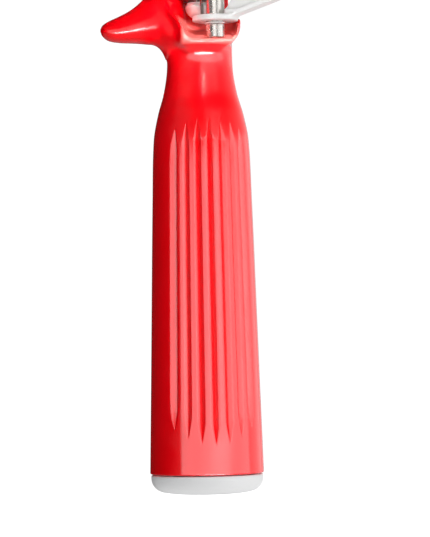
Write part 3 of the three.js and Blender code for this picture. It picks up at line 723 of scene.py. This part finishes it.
def build_handle():
    angles = grip_angles()
    count = len(angles)
    bottom = SECTIONS[0, 0]
    lip = 0.35
    tip, full, full_end, tip_end = FLUTE_SPAN
    stops = [bottom + lip, tip, full + 1, full_end - 1, tip_end + 0.5]
    spans = zip(stops, stops[1:], (8, 26, 40, 30))
    levels = [np.linspace(start, end, rows, endpoint=False) for start, end, rows in spans]
    levels = np.concatenate(levels + [np.linspace(stops[-1], WELD_Z, 18)])
    rings = []
    for t in np.linspace(0, 1, 5, endpoint=False):
        edge = grip_ring(bottom + lip, angles)
        shrink = lip * (1 - math.sin(t * math.pi / 2))
        edge[:, :2] *= 1 - shrink / np.hypot(edge[:, 0], edge[:, 1])[:, None]
        edge[:, 2] = bottom + lip * (1 - math.cos(t * math.pi / 2))
        rings.append(edge)
    rings += [grip_ring(z, angles) for z in levels]
    points = np.concatenate(rings)
    number = np.arange(len(rings) * count).reshape(len(rings), count)
    after = np.roll(number, -1, axis=1)
    quads = np.stack([number[:-1], after[:-1], after[1:], number[1:]], 2).reshape(-1, 4)
    faces = quads.tolist()
    faces.append(number[0][::-1].tolist())
    step = grid_step(0.28)
    low, high = (-29, -14.5, WELD_Z + 0.3), (13, 13, 163)
    net, net_faces = surface(housing_distance, low, high, step)
    used = np.unique(net_faces)
    renumber = np.full(len(net), -1)
    renumber[used] = np.arange(len(used)) + len(points)
    net_faces = renumber[net_faces]
    points = np.concatenate([points, net[used]])
    edges = np.concatenate([net_faces[:, [i, (i + 1) % 4]] for i in range(4)])
    edges, uses = np.unique(np.sort(edges, axis=1), axis=0, return_counts=True)
    rim = [int(i) for i in np.unique(edges[uses == 1]) if points[i][2] < WELD_Z + 2]
    faces += net_faces.tolist()
    faces += zip_loops(number[-1].tolist(), rim, points)
    return object_from("handle_shell", points, faces, RED, 55)


def end_cap():
    """A cup with a rounded foot, and the plug that holds it in the grip."""
    foot = []
    for a in np.linspace(0, 1, 14) * math.pi / 2:
        r = CAP_RADIUS - CAP_ROUND + CAP_ROUND * math.sin(a)
        foot.append([r, CAP_ROUND - 4 * math.cos(a)])
    profile = [[0, 0], [9, 0], [10.2, 0.1]] + foot
    profile += [[CAP_RADIUS, CAP_TOP - 0.25], [CAP_RADIUS - 0.25, CAP_TOP], [12, CAP_TOP]]
    profile += [[11.8, CAP_TOP + CAP_PLUG - 0.4], [11.5, CAP_TOP + CAP_PLUG], [9.7, CAP_TOP + CAP_PLUG]]
    return lathe("cap_shell", profile + [[9.5, 3], [0, 3]], (0, 0), GREY, 160, 50)


# ---- Pin, clip and rings ----
def pivot_pin():
    foot = [[0, 125.4], [1.2, 125.46], [2.3, 125.62], [PIN_RADIUS, 125.8]]
    groove = [[PIN_RADIUS, 129.3], [2.15, 129.3], [2.15, 130], [PIN_RADIUS, 130]]
    top = [[PIN_RADIUS, PIN_TOP - 0.4], [PIN_RADIUS - 0.4, PIN_TOP], [0, PIN_TOP]]
    return lathe("pivot_pin_round", rounded(foot + groove + top, 0.14), PIVOT, STEEL, 96)


def arc(radius, start, end, steps):
    angles = np.linspace(start, end, steps)
    return [(PIVOT[0] + radius * math.cos(a), PIVOT[1] + radius * math.sin(a)) for a in angles]


def e_clip():
    low, high, inner, outer = CLIP
    start, end = math.radians(65), math.radians(325)
    outline = arc(outer, start, end, 60) + arc(inner, end, start, 60)
    return plate("e_clip_sheet", outline, [], low, high, SATIN, 0.1, 40)


def cap_nut():
    """A domed nut with a fine seam under its cone, blind from the top."""
    radius, equator = 3.3, 135.4
    dome = [
        [radius * math.sin(t), equator - radius * math.cos(t)] for t in np.linspace(0, math.pi / 2, 26)
    ]
    dome[0][0] = 0
    seam = [[radius - 0.3, equator + 0.03], [radius - 0.3, equator + 0.22]]
    cone = [[radius - 0.02, equator + 0.25], [2.7, 136.6], [1.55, 136.6], [1.55, 133.5], [0, 133.5]]
    return lathe("cap_nut_dome", dome + rounded(seam + cone, 0.1), SHAFT, SATIN, 96)


def scraper_shaft():
    low, high = BOWL[2] - BLADE_OUTER, BOWL[2] - BLADE_INNER
    profile = [
        [0, 133.8], [NECK_RADIUS, 133.8], [NECK_RADIUS, SHAFT_SHOULDER], [SHAFT_RADIUS, SHAFT_SHOULDER],
        [SHAFT_RADIUS, low - GAP], [1.5, low - GAP], [1.5, high + 0.5], [2.7, high + 0.5],
        [2.5, high + 1], [1.6, high + 1.4], [0, high + 1.6],
    ]
    return lathe("scraper_shaft_round", rounded(profile, 0.15), SHAFT, STEEL, 72)


# ---- Gears ----
def tooth(teeth, at):
    """Outline points of one involute tooth, centred on the angle given."""
    pitch = MODULE * teeth / 2
    base = pitch * math.cos(PRESSURE)
    tip, root = pitch + 0.8 * MODULE, pitch - 1.05 * MODULE

    def involute(r):
        a = math.acos(min(base / r, 1))
        return math.tan(a) - a

    def half(r):
        return math.pi / (2 * teeth) - BACKLASH / pitch + involute(pitch) - involute(max(r, base))

    radii = [root] + list(np.linspace(max(root, base), tip, 6))
    points = [(r, at - half(r)) for r in radii] + [(r, at + half(r)) for r in radii[::-1]]
    return [(r * math.cos(a), r * math.sin(a)) for r, a in points]


def ring_of_teeth(teeth, angles):
    return [point for a in angles for point in tooth(teeth, a)]


def pinion():
    step = 2 * math.pi / PINION_TEETH
    angles = [MESH_ANGLE + math.pi + (i + 0.5) * step for i in range(PINION_TEETH)]
    outline = [(x + SHAFT[0], y + SHAFT[1]) for x, y in ring_of_teeth(PINION_TEETH, angles)]
    holes = [(*SHAFT, NECK_RADIUS + 0.15)]
    return plate("pinion_cut", outline, holes, *PINION_Z, SHEET_STEEL, 0.08)


def rivet_place(angle):
    return PIVOT[0] + RIVET_RING * math.cos(angle), PIVOT[1] + RIVET_RING * math.sin(angle)


def gear_sector():
    step = 2 * math.pi / SECTOR_TEETH
    first = math.ceil((SECTOR_ARC[0] - MESH_ANGLE) / step)
    last = math.floor((SECTOR_ARC[1] - MESH_ANGLE) / step)
    outline = ring_of_teeth(SECTOR_TEETH, [MESH_ANGLE + i * step for i in range(first, last + 1)])
    hub = EAR_RADIUS - 0.5
    start, sweep = MESH_ANGLE + last * step, 2 * math.pi - (last - first) * step
    for t in np.linspace(0, 1, 46)[2:-2]:
        outline.append((hub * math.cos(start + sweep * t), hub * math.sin(start + sweep * t)))
    outline = [(x + PIVOT[0], y + PIVOT[1]) for x, y in outline]
    holes = [(*PIVOT, PIN_RADIUS + GAP)] + [(*rivet_place(a), 0.8) for a in RIVET_ANGLES]
    return plate("gear_sector_cut", outline, holes, *SECTOR_Z, SHEET_STEEL, 0.12)


def sector_rivet(name, angle):
    low, high = SECTOR_Z[0] - 0.2, UPPER_EAR[1] + 0.2
    profile = [
        [0, low - 0.4], [0.8, low - 0.36], [1.15, low - 0.15], [1.2, low], [0.7, low],
        [0.7, high], [1.2, high], [1.15, high + 0.15], [0.8, high + 0.36], [0, high + 0.4],
    ]
    return lathe(name, rounded(profile, 0.08), rivet_place(angle), STEEL, 48)


# ---- Thumb lever and its spring ----
def strip(edge, lift):
    """An edge's points and the same points moved up or down, as a closed outline."""
    return list(edge) + [(x, z + lift) for x, z in reversed(edge)]


def in_frame(x, y, centre, angle):
    """x and y in a frame that is turned by an angle about a centre."""
    x, y = x - centre[0], y - centre[1]
    c, s = math.cos(angle), math.sin(angle)
    return c * x + s * y, c * y - s * x


def lever_distance(x_world, y_world, z):
    x, y = in_frame(x_world, y_world, PIVOT, LEVER_REST)
    around = np.hypot(x, y)
    half = SHEET / 2
    web = extrude(polygon_distance(x, z, ARM_LOWER_EDGE + ARM_UPPER_EDGE + ARM_INNER_EDGE), y, -half, half)
    lower = extrude(polygon_distance(x, z, strip(ARM_LOWER_EDGE, SHEET)), y, -FLANGE_WIDTH, half)
    upper = extrude(polygon_distance(x, z, strip(ARM_UPPER_EDGE[:3], -SHEET)), y, -FLANGE_WIDTH, half)
    arm = smin(smin(web, lower, 1.1), upper, 1.1)
    tab_outline = [(0, -4.4), (11, -FLANGE_WIDTH), (11, half), (0, 4.4)]
    tab = extrude(polygon_distance(x, y, tab_outline), z, *UPPER_EAR)
    ears = [extrude(around - EAR_RADIUS, z, *ear, 0.35) for ear in (LOWER_EAR, UPPER_EAR)]
    body = smin(smin(arm, smin(ears[1], tab, 0.6), 0.9), ears[0], 0.9)
    middle_x, middle_z, half_x, half_z, corner = THUMB
    u, w = x - middle_x, z - middle_z
    pad = extrude(rounded_box(u, w, half_x, half_z, corner), y, -half, half, 0.5)
    body = smin(body, pad, 0.8)
    for i in range(4):
        rib = rounded_box(u - (i - 1.5) * 3.4, w, 0.6, half_z - 3.5, 0.59)
        body = smin(body, smax(rib, slab(y, -half - 0.7, 0), 0.6), 0.5)
    body = smax(body, PIN_RADIUS + GAP - around, 0.3)
    for angle in RIVET_ANGLES:
        rx, ry = rivet_place(angle)
        body = smax(body, -cylinder_z(x_world, y_world, z, 0.8, 143, 147, (rx, ry)), 0.15)
    peg = spring_peg()
    return smax(body, -cylinder_z(x_world, y_world, z, WIRE / 2 + GAP, 128, 134, peg), 0.15)


def thumb_lever():
    low, high = (-4, -19.5, 129.6), (42.5, 0, 158.5)
    return skin("thumb_lever_pressed", lever_distance, low, high, grid_step(0.25), SATIN)


def spring_peg():
    return PIVOT[0] + PEG_RING * math.cos(PEG_ANGLE), PIVOT[1] + PEG_RING * math.sin(PEG_ANGLE)


def wire(name, path, diameter, material):
    """A round wire along a smooth path through the points."""
    curve = bpy.data.curves.new(name, "CURVE")
    curve.dimensions = "3D"
    curve.bevel_depth = diameter / 2 * MM
    curve.bevel_resolution = 5
    curve.use_fill_caps = True
    spline = curve.splines.new("BEZIER")
    spline.resolution_u = 4
    spline.bezier_points.add(len(path) - 1)
    for knot, place in zip(spline.bezier_points, path):
        knot.co = Vector(place) * MM
        knot.handle_left_type = knot.handle_right_type = "AUTO"
    swept = add_object(name, curve)
    bpy.context.view_layer.update()
    mesh = bpy.data.meshes.new_from_object(swept.evaluated_get(bpy.context.evaluated_depsgraph_get()))
    bpy.data.objects.remove(swept)
    mesh.name = name
    made = add_object(name, mesh)
    mesh.materials.clear()
    mesh.materials.append(material)
    tidy(made, 50)
    return made


def return_spring():
    """One wire: up from the lever's ear, round the pin, and off along the window's left wall. Its dark steel
    is partly the spring's own colour and partly painted shade, filling the dark gap beside the pin.
    """
    peg = spring_peg()
    path = [(*peg, LOWER_EAR[0] + 0.4), (*peg, 134), (*peg, COIL_LOW - 0.8)]
    start, sweep = math.radians(200), 2 * math.pi * COIL_TURNS - math.radians(110)
    for t in np.linspace(0, 1, 16 * COIL_TURNS + 1):
        a = start + sweep * t
        z = COIL_LOW + (COIL_HIGH - COIL_LOW) * t
        path.append((PIVOT[0] + COIL_RADIUS * math.cos(a), PIVOT[1] + COIL_RADIUS * math.sin(a), z))
    path += [(x, PIVOT[1] + COIL_RADIUS, COIL_HIGH) for x in (0, -4, -8.4)]
    return wire("return_spring_wire", path, WIRE, DARK_STEEL)


# ---- Bowl, shank and blade ----
def from_bowl(x, y, z):
    return np.sqrt((x - BOWL[0]) ** 2 + (y - BOWL[1]) ** 2 + (z - BOWL[2]) ** 2)


def rivet_axis(side):
    along = math.sqrt(BOWL_OUTER**2 - 6.5**2 - 9**2)
    return Vector((side * 6.5, 9, -along)).normalized()


def rivet_holes(x, y, z, radius):
    """Distance to the two holes of the saddle's rivets."""
    holes = []
    for side in (-1, 1):
        axis = rivet_axis(side)
        u, v, w = x - BOWL[0], y - BOWL[1], z - BOWL[2]
        along = u * axis.x + v * axis.y + w * axis.z
        away = np.sqrt(np.clip(u * u + v * v + w * w - along * along, 0, None))
        holes.append(np.maximum(away - radius, 10 - along))
    return np.minimum(*holes)


def bowl_distance(x, y, z):
    r = from_bowl(x, y, z)
    shell = smax(slab(r, BOWL_INNER, BOWL_OUTER), BOWL[1] - y, 0.5)
    boss = cylinder_z(x, y, z, 3.3, BOWL[2] + 26.6, BOWL[2] + 29.2, SHAFT, 0.5)
    body = smin(shell, boss, 1)
    body = smax(body, -cylinder_z(x, y, z, SHAFT_RADIUS + 0.6, BOWL[2] - 40, BOWL[2] - 20, SHAFT), 0.3)
    body = smax(body, -cylinder_z(x, y, z, 1.6, BOWL[2] + 20, BOWL[2] + 40, SHAFT), 0.3)
    return smax(body, -rivet_holes(x, y, z, 1.25), 0.15)


def bowl():
    reach = BOWL_OUTER + 1
    low = (BOWL[0] - reach, BOWL[1] - 4, BOWL[2] - reach)
    high = (BOWL[0] + reach, BOWL[1] + reach, BOWL[2] + reach + 2)
    return skin("bowl_spun", bowl_distance, low, high, grid_step(0.4), SHEET_STEEL)


def shank_distance(x, y, z):
    r = from_bowl(x, y, z)
    u, v = x - SHAFT[0], y - SHAFT[1]
    saddle = slab(r, *SADDLE)
    outline = rounded_box(u, v - 5, 11.5, 10, 4)
    saddle = smax(smax(saddle, outline, 0.5), z - 174, 0.5)
    tube = smax(np.hypot(u, v) - 5, np.maximum(152.3 - z, z - 172), 0.6)
    body = smin(saddle, tube, 2.4)
    body = smax(body, SADDLE[0] - r, 0.3)
    body = smax(body, -cylinder_z(x, y, z, 2.7, 140, 180, SHAFT), 0.3)
    body = smax(body, -cylinder_z(x, y, z, BUSH_RADIUS + 0.05, 157.2, 180, SHAFT), 0.3)
    pin = np.hypot(v, z - SHANK_PIN_Z) - 1.25
    body = smax(body, -np.maximum(pin, 4 - np.abs(u)), 0.15)
    return smax(body, -rivet_holes(x, y, z, 1.25), 0.15)


def bowl_shank():
    low, high = (-12.5, -3.5, 151.5), (12.5, 18.5, 175)
    return skin("bowl_shank_saddle", shank_distance, low, high, 0.36, SHEET_STEEL)


def along_axis(made, axis, centre):
    """Turns a piece made about +Z to point along an axis from a centre."""
    turn = Vector((0, 0, 1)).rotation_difference(Vector(axis)).to_matrix().to_4x4()
    made.data.transform(Matrix.Translation(Vector(centre) * MM) @ turn)


def bowl_rivet(name, side):
    base = SADDLE[1] + 0.2
    profile = [
        [0, BOWL_INNER + 0.1], [1.0, BOWL_INNER + 0.1], [1.2, BOWL_INNER + 0.3], [1.2, base], [2.3, base],
        [2.25, base + 0.3], [1.8, base + 0.68], [1.0, base + 0.86], [0, base + 0.9],
    ]
    made = lathe(name, rounded(profile, 0.1), (0, 0), STEEL, 64)
    along_axis(made, rivet_axis(side), BOWL)
    return made


def tip_pivot():
    z = BOWL[2]
    profile = [
        [0, z + 24.1], [1.2, z + 24.16], [2, z + 24.4], [2.4, z + 25], [1.3, z + 25], [1.3, z + 29.4],
        [2.7, z + 29.4], [2.6, z + 29.8], [1.8, z + 30.25], [0, z + 30.4],
    ]
    return lathe("bowl_tip_round", rounded(profile, 0.1), SHAFT, STEEL, 64)


def shank_pin(name, start, end):
    length = end - start
    profile = [[0, 0], [0.9, 0], [1.2, 0.3], [1.2, length - 0.3], [0.9, length], [0, length]]
    made = lathe(name, rounded(profile, 0.12), (0, 0), STEEL, 40)
    along_axis(made, (1, 0, 0), (start, SHAFT[1], SHANK_PIN_Z))
    return made


def blade_distance(x_world, y_world, z):
    x, y = in_frame(x_world, y_world, SHAFT, BLADE_REST)
    r = np.sqrt(x * x + y * y + (z - BOWL[2]) ** 2)
    ends = smax(np.abs(y) - BLADE_HALF_WIDTH, -x - BLADE_LAP, 3)
    body = smax(slab(r, BLADE_INNER, BLADE_OUTER), ends, 0.25)
    return smax(body, 1.8 - np.hypot(x, y), 0.2)


def scraper_blade():
    reach = BLADE_OUTER + 0.6
    low = (-reach, BOWL[1] - 5.5, BOWL[2] - reach)
    high = (5.5, BOWL[1] + 12.5, BOWL[2] + reach)
    return skin("scraper_blade_strip", blade_distance, low, high, grid_step(0.3), SHEET_STEEL)


# ---- Assembly of pieces ----
def finish(piece, node, body, slot="polished_steel"):
    """Hides the CAD node that a piece stands for and attaches the piece to the body it rides on; the slot is
    not used.
    """
    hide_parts(node)
    if body:
        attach(piece, body)


def replace_pieces():
    """Makes every piece and puts it in place of its CAD node."""
    bore = SHAFT_RADIUS + GAP
    on_handle = [
        (build_handle(), "handle_body", "handle_plastic"),
        (end_cap(), "end_cap", "cap_plastic"),
        (pivot_pin(), "pivot_pin"),
        (e_clip(), "pivot_e_clip", "spring_steel"),
        (ring("lower_bushing_ring", bore, BUSH_RADIUS, 146.7, 151.6, SHAFT), "lower_bushing",
         "bushing_plastic"),
        (ring("upper_bushing_ring", bore, BUSH_RADIUS, 157.5, 164.6, SHAFT), "upper_bushing",
         "bushing_plastic"),
        (bowl_shank(), "bowl_shank"),
        (shank_pin("shank_pin_left_round", -9.2, -4.3), "shank_pin_left"),
        (shank_pin("shank_pin_right_round", 4.3, 9.2), "shank_pin_right"),
        (bowl(), "bowl"),
        (bowl_rivet("bowl_rivet_left_head", -1), "bowl_rivet_left"),
        (bowl_rivet("bowl_rivet_right_head", 1), "bowl_rivet_right"),
        (tip_pivot(), "bowl_tip_pivot"),
    ]
    on_lever = [
        (thumb_lever(), "thumb_lever"),
        (gear_sector(), "gear_sector"),
        (sector_rivet("sector_rivet_1_head", RIVET_ANGLES[0]), "sector_rivet_1"),
        (sector_rivet("sector_rivet_2_head", RIVET_ANGLES[1]), "sector_rivet_2"),
        (ring("lever_washer_ring", PIN_RADIUS + GAP, 3.6, 145.6, 146.2, PIVOT, None, 0.12), "lever_washer",
         "bushing_plastic"),
    ]
    on_scraper = [
        (scraper_shaft(), "scraper_shaft"),
        (scraper_blade(), "scraper_blade"),
        (pinion(), "pinion"),
        (ring("pinion_washer_ring", NECK_RADIUS + GAP, 3.9, 136.9, 137.7, SHAFT, DARK_STEEL),
         "pinion_washer", "spring_steel"),
        (cap_nut(), "cap_nut"),
    ]
    for body, rows in (("handle", on_handle), ("lever", on_lever), ("scraper", on_scraper)):
        for piece, node, *slot in rows:
            finish(piece, node, body, *slot)
    spring = return_spring()
    finish(spring, "return_spring", None, "spring_steel")
    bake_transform(spring)


# ---- Studio ----
VIEW_AZIMUTH = math.radians(-10.6)
VIEW_DISTANCE = 727.0
VIEW_HEIGHT = 43.0
TARGET_SIDE = 3.2
TARGET_HEIGHT = 62.2
FRAME_HEIGHT = 149.2  # of the picture, at the handle's axis
ROLL = math.radians(1.05)


def camera():
    right = Vector((math.cos(VIEW_AZIMUTH), math.sin(VIEW_AZIMUTH), 0))
    back = Vector((math.sin(VIEW_AZIMUTH), -math.cos(VIEW_AZIMUTH), 0))
    target = right * TARGET_SIDE + Vector((0, 0, TARGET_HEIGHT))
    place = right * TARGET_SIDE + back * VIEW_DISTANCE + Vector((0, 0, VIEW_HEIGHT))
    data = bpy.data.cameras.new("camera")
    data.sensor_width = 36
    data.lens = 36 * (target - place).length / FRAME_HEIGHT
    data.clip_start = 0.01
    made = add_object("camera", data)
    turn = (target - place).to_track_quat("-Z", "Y") @ Matrix.Rotation(-ROLL, 3, "Z").to_quaternion()
    made.matrix_world = Matrix.Translation(place * MM) @ turn.to_matrix().to_4x4()
    bpy.context.scene.camera = made


def floor():
    """A pale floor for the lens only; the room below the horizon lights the object instead."""
    corners = [(x * 3000, y * 3000, -0.05) for x, y in ((-1, -1), (1, -1), (1, 1), (-1, 1))]
    look = Look("pale_floor", Base_Color=(0.9, 0.9, 0.9, 1), Roughness=0.8, Emission_Strength=1.02)
    set_inputs(look.shader, Emission_Color=(1, 1, 1, 1))
    made = object_from("floor", corners, [[0, 1, 2, 3]], look.material)
    for way in ("diffuse", "glossy", "transmission", "shadow"):
        setattr(made, "visible_" + way, False)


def softbox(name, azimuth, elevation, distance, width, height, radiance, pieces=None, **settings):
    """A rectangular area light that faces the handle. Azimuth 0 is the lens's side, + is right of it."""
    a, e = math.radians(azimuth) + VIEW_AZIMUTH, math.radians(elevation)
    aim = Vector(settings.get("aim", (0, 0, 85)))
    place = aim + distance * Vector((math.sin(a) * math.cos(e), -math.cos(a) * math.cos(e), math.sin(e)))
    data = bpy.data.lights.new(name, "AREA")
    data.shape = "RECTANGLE"
    data.size, data.size_y = width * MM, height * MM
    data.energy = radiance * math.pi * data.size * data.size_y
    data.spread = math.radians(settings.get("spread", 180))
    made = add_object(name, data)
    turn = (aim - place).to_track_quat("-Z", "Y")
    made.matrix_world = Matrix.Translation(place * MM) @ turn.to_matrix().to_4x4()
    made.visible_glossy = settings.get("glossy", True)
    made.visible_diffuse = settings.get("diffuse", True)
    if pieces:
        made.light_linking.receiver_collection = pieces


def group_by_material(name, materials):
    """The visible pieces that wear one of the materials, as a collection that lights can be linked to."""
    group = bpy.data.collections.new(name)
    for made in bpy.context.scene.objects:
        if made.type == "MESH" and made.data.materials and made.data.materials[0] in materials:
            group.objects.link(made)
    return group


# Brightness of the room by azimuth in degrees; 0 is the lens's side, + is right of it
ROOM = [(-180, 0.02), (-60, 0.01), (20, 0.03), (60, 0.3), (105, 0.9), (165, 0.9), (180, 0.1)]
# Brightness overhead and below, blended in between two sines of the elevation
ROOM_TOP = (0.2, 0.6, 0.05)
ROOM_FOOT = (-0.25, -0.6, 0.8)
LENS_WHITE = 1.05  # brightness of the background that the lens sees


def world():
    """White for the lens; for light and reflections, a room with a dark flag at the left."""
    made = bpy.data.worlds.new("studio")
    bpy.context.scene.world = made
    made.use_nodes = True
    tree = made.node_tree
    tree.nodes.clear()
    link = tree.links.new

    def node(kind, **settings):
        new = tree.nodes.new(kind)
        for key, value in settings.items():
            setattr(new, key, value)
        return new

    turned = node("ShaderNodeMapping")
    set_inputs(turned, Rotation=(0, 0, -VIEW_AZIMUTH))
    link(node("ShaderNodeTexCoord").outputs["Generated"], turned.inputs["Vector"])
    split = node("ShaderNodeSeparateXYZ")
    link(turned.outputs["Vector"], split.inputs["Vector"])
    ahead = node("ShaderNodeMath", operation="MULTIPLY")
    ahead.inputs[1].default_value = -1
    link(split.outputs["Y"], ahead.inputs[0])
    azimuth = node("ShaderNodeMath", operation="ARCTAN2")
    link(split.outputs["X"], azimuth.inputs[0])
    link(ahead.outputs["Value"], azimuth.inputs[1])
    turn = node("ShaderNodeMapRange")
    set_inputs(turn, From_Min=-math.pi, From_Max=math.pi)
    link(azimuth.outputs["Value"], turn.inputs["Value"])
    ramp = node("ShaderNodeValToRGB")
    link(turn.outputs["Result"], ramp.inputs["Fac"])
    elements = ramp.color_ramp.elements
    for angle, _ in ROOM[1:-1]:
        elements.new((angle + 180) / 360)
    stops = sorted(elements, key=lambda stop: stop.position)
    for stop, (_, shade) in zip(stops, ROOM):
        stop.color = (shade, shade, shade, 1)

    def blended(below, start, end, brightness):
        """An even brightness, laid over another output as the elevation's sine goes from start to end."""
        rise = node("ShaderNodeMapRange", interpolation_type="SMOOTHSTEP")
        set_inputs(rise, From_Min=start, From_Max=end)
        link(split.outputs["Z"], rise.inputs["Value"])
        shade = node("ShaderNodeMix", data_type="RGBA")
        link(rise.outputs["Result"], shade.inputs["Factor"])
        link(below, shade.inputs[6])
        shade.inputs[7].default_value = (brightness, brightness, brightness, 1)
        return shade.outputs[2]

    walls_and_top = blended(ramp.outputs["Color"], *ROOM_TOP)
    lighting = node("ShaderNodeBackground")
    link(blended(walls_and_top, *ROOM_FOOT), lighting.inputs["Color"])
    seen = node("ShaderNodeBackground")
    set_inputs(seen, Color=(1, 1, 1, 1), Strength=LENS_WHITE)
    mix = node("ShaderNodeMixShader")
    link(node("ShaderNodeLightPath").outputs["Is Camera Ray"], mix.inputs["Fac"])
    link(lighting.outputs["Background"], mix.inputs[1])
    link(seen.outputs["Background"], mix.inputs[2])
    link(mix.outputs["Shader"], node("ShaderNodeOutputWorld").inputs["Surface"])


# Panels that make a low wall of light from the left front to the right back: azimuth, radiance, top.
# Each is five panels of rising height, one in front of the other, so that its upper edge is soft.
WALL_OF_LIGHT = [(-26, 22, 145), (22, 22, 165), (70, 17, 170), (118, 4, 170)]
WALL_STEPS = (-60, -30, 0, 30, 60)
WALL_PANEL = (-8, 700, 623)  # elevation, distance, width
WALL_MIDDLE = -12  # height of the panels' middle

# Name, pieces that it lights, azimuth, elevation, distance, width, height, radiance, settings
LAMPS = [
    ("low_strip", "plastic", 16, -32, 700, 900, 70, 80, {"diffuse": False}),
    ("low_strip_core", "plastic", 16, -32, 700, 560, 100, 70, {"diffuse": False}),
    ("key", "plastic", 35, 10, 700, 600, 500, 8.5, {"glossy": False}),
    ("fill", "plastic", -50, 20, 700, 600, 500, 2.3, {"glossy": False}),
    ("tray", "plastic", 12, 20, 160, 30, 20, 4.5, {"glossy": False, "aim": (3, -4, 131), "spread": 16}),
    ("mechanism", "pale", -25, -8, 160, 40, 30, 0.55, {"glossy": False, "aim": (2, -2, 135), "spread": 24}),
    ("pale_left", "pale", -95, 5, 700, 1000, 700, 0.2, {}),
    ("pale_front", "pale", -10, 5, 700, 560, 700, 1.35, {}),
    ("pale_right", "pale", 60, 5, 700, 850, 700, 1.0, {}),
    ("pale_top", "pale", 10, 70, 700, 900, 700, 0.9, {}),
]


def studio():
    camera()
    floor()
    world()
    groups = {
        "plastic": group_by_material("coloured_pieces", (RED, NYLON)),
        "pale": group_by_material("pale_pieces", (STEEL, SHEET_STEEL, SATIN, DARK_STEEL, GREY)),
    }
    for i, (azimuth, radiance, top) in enumerate(WALL_OF_LIGHT):
        for step in WALL_STEPS:
            height = 2 * (top + step - WALL_MIDDLE)
            box = (azimuth, *WALL_PANEL, height, radiance / len(WALL_STEPS))
            softbox(f"wall_{i}_{step}", *box, groups["plastic"], diffuse=False)
    for name, group, *box, settings in LAMPS:
        softbox(name, *box, groups[group], **settings)
    bpy.context.scene.view_settings.view_transform = "Standard"


replace_pieces()
studio()
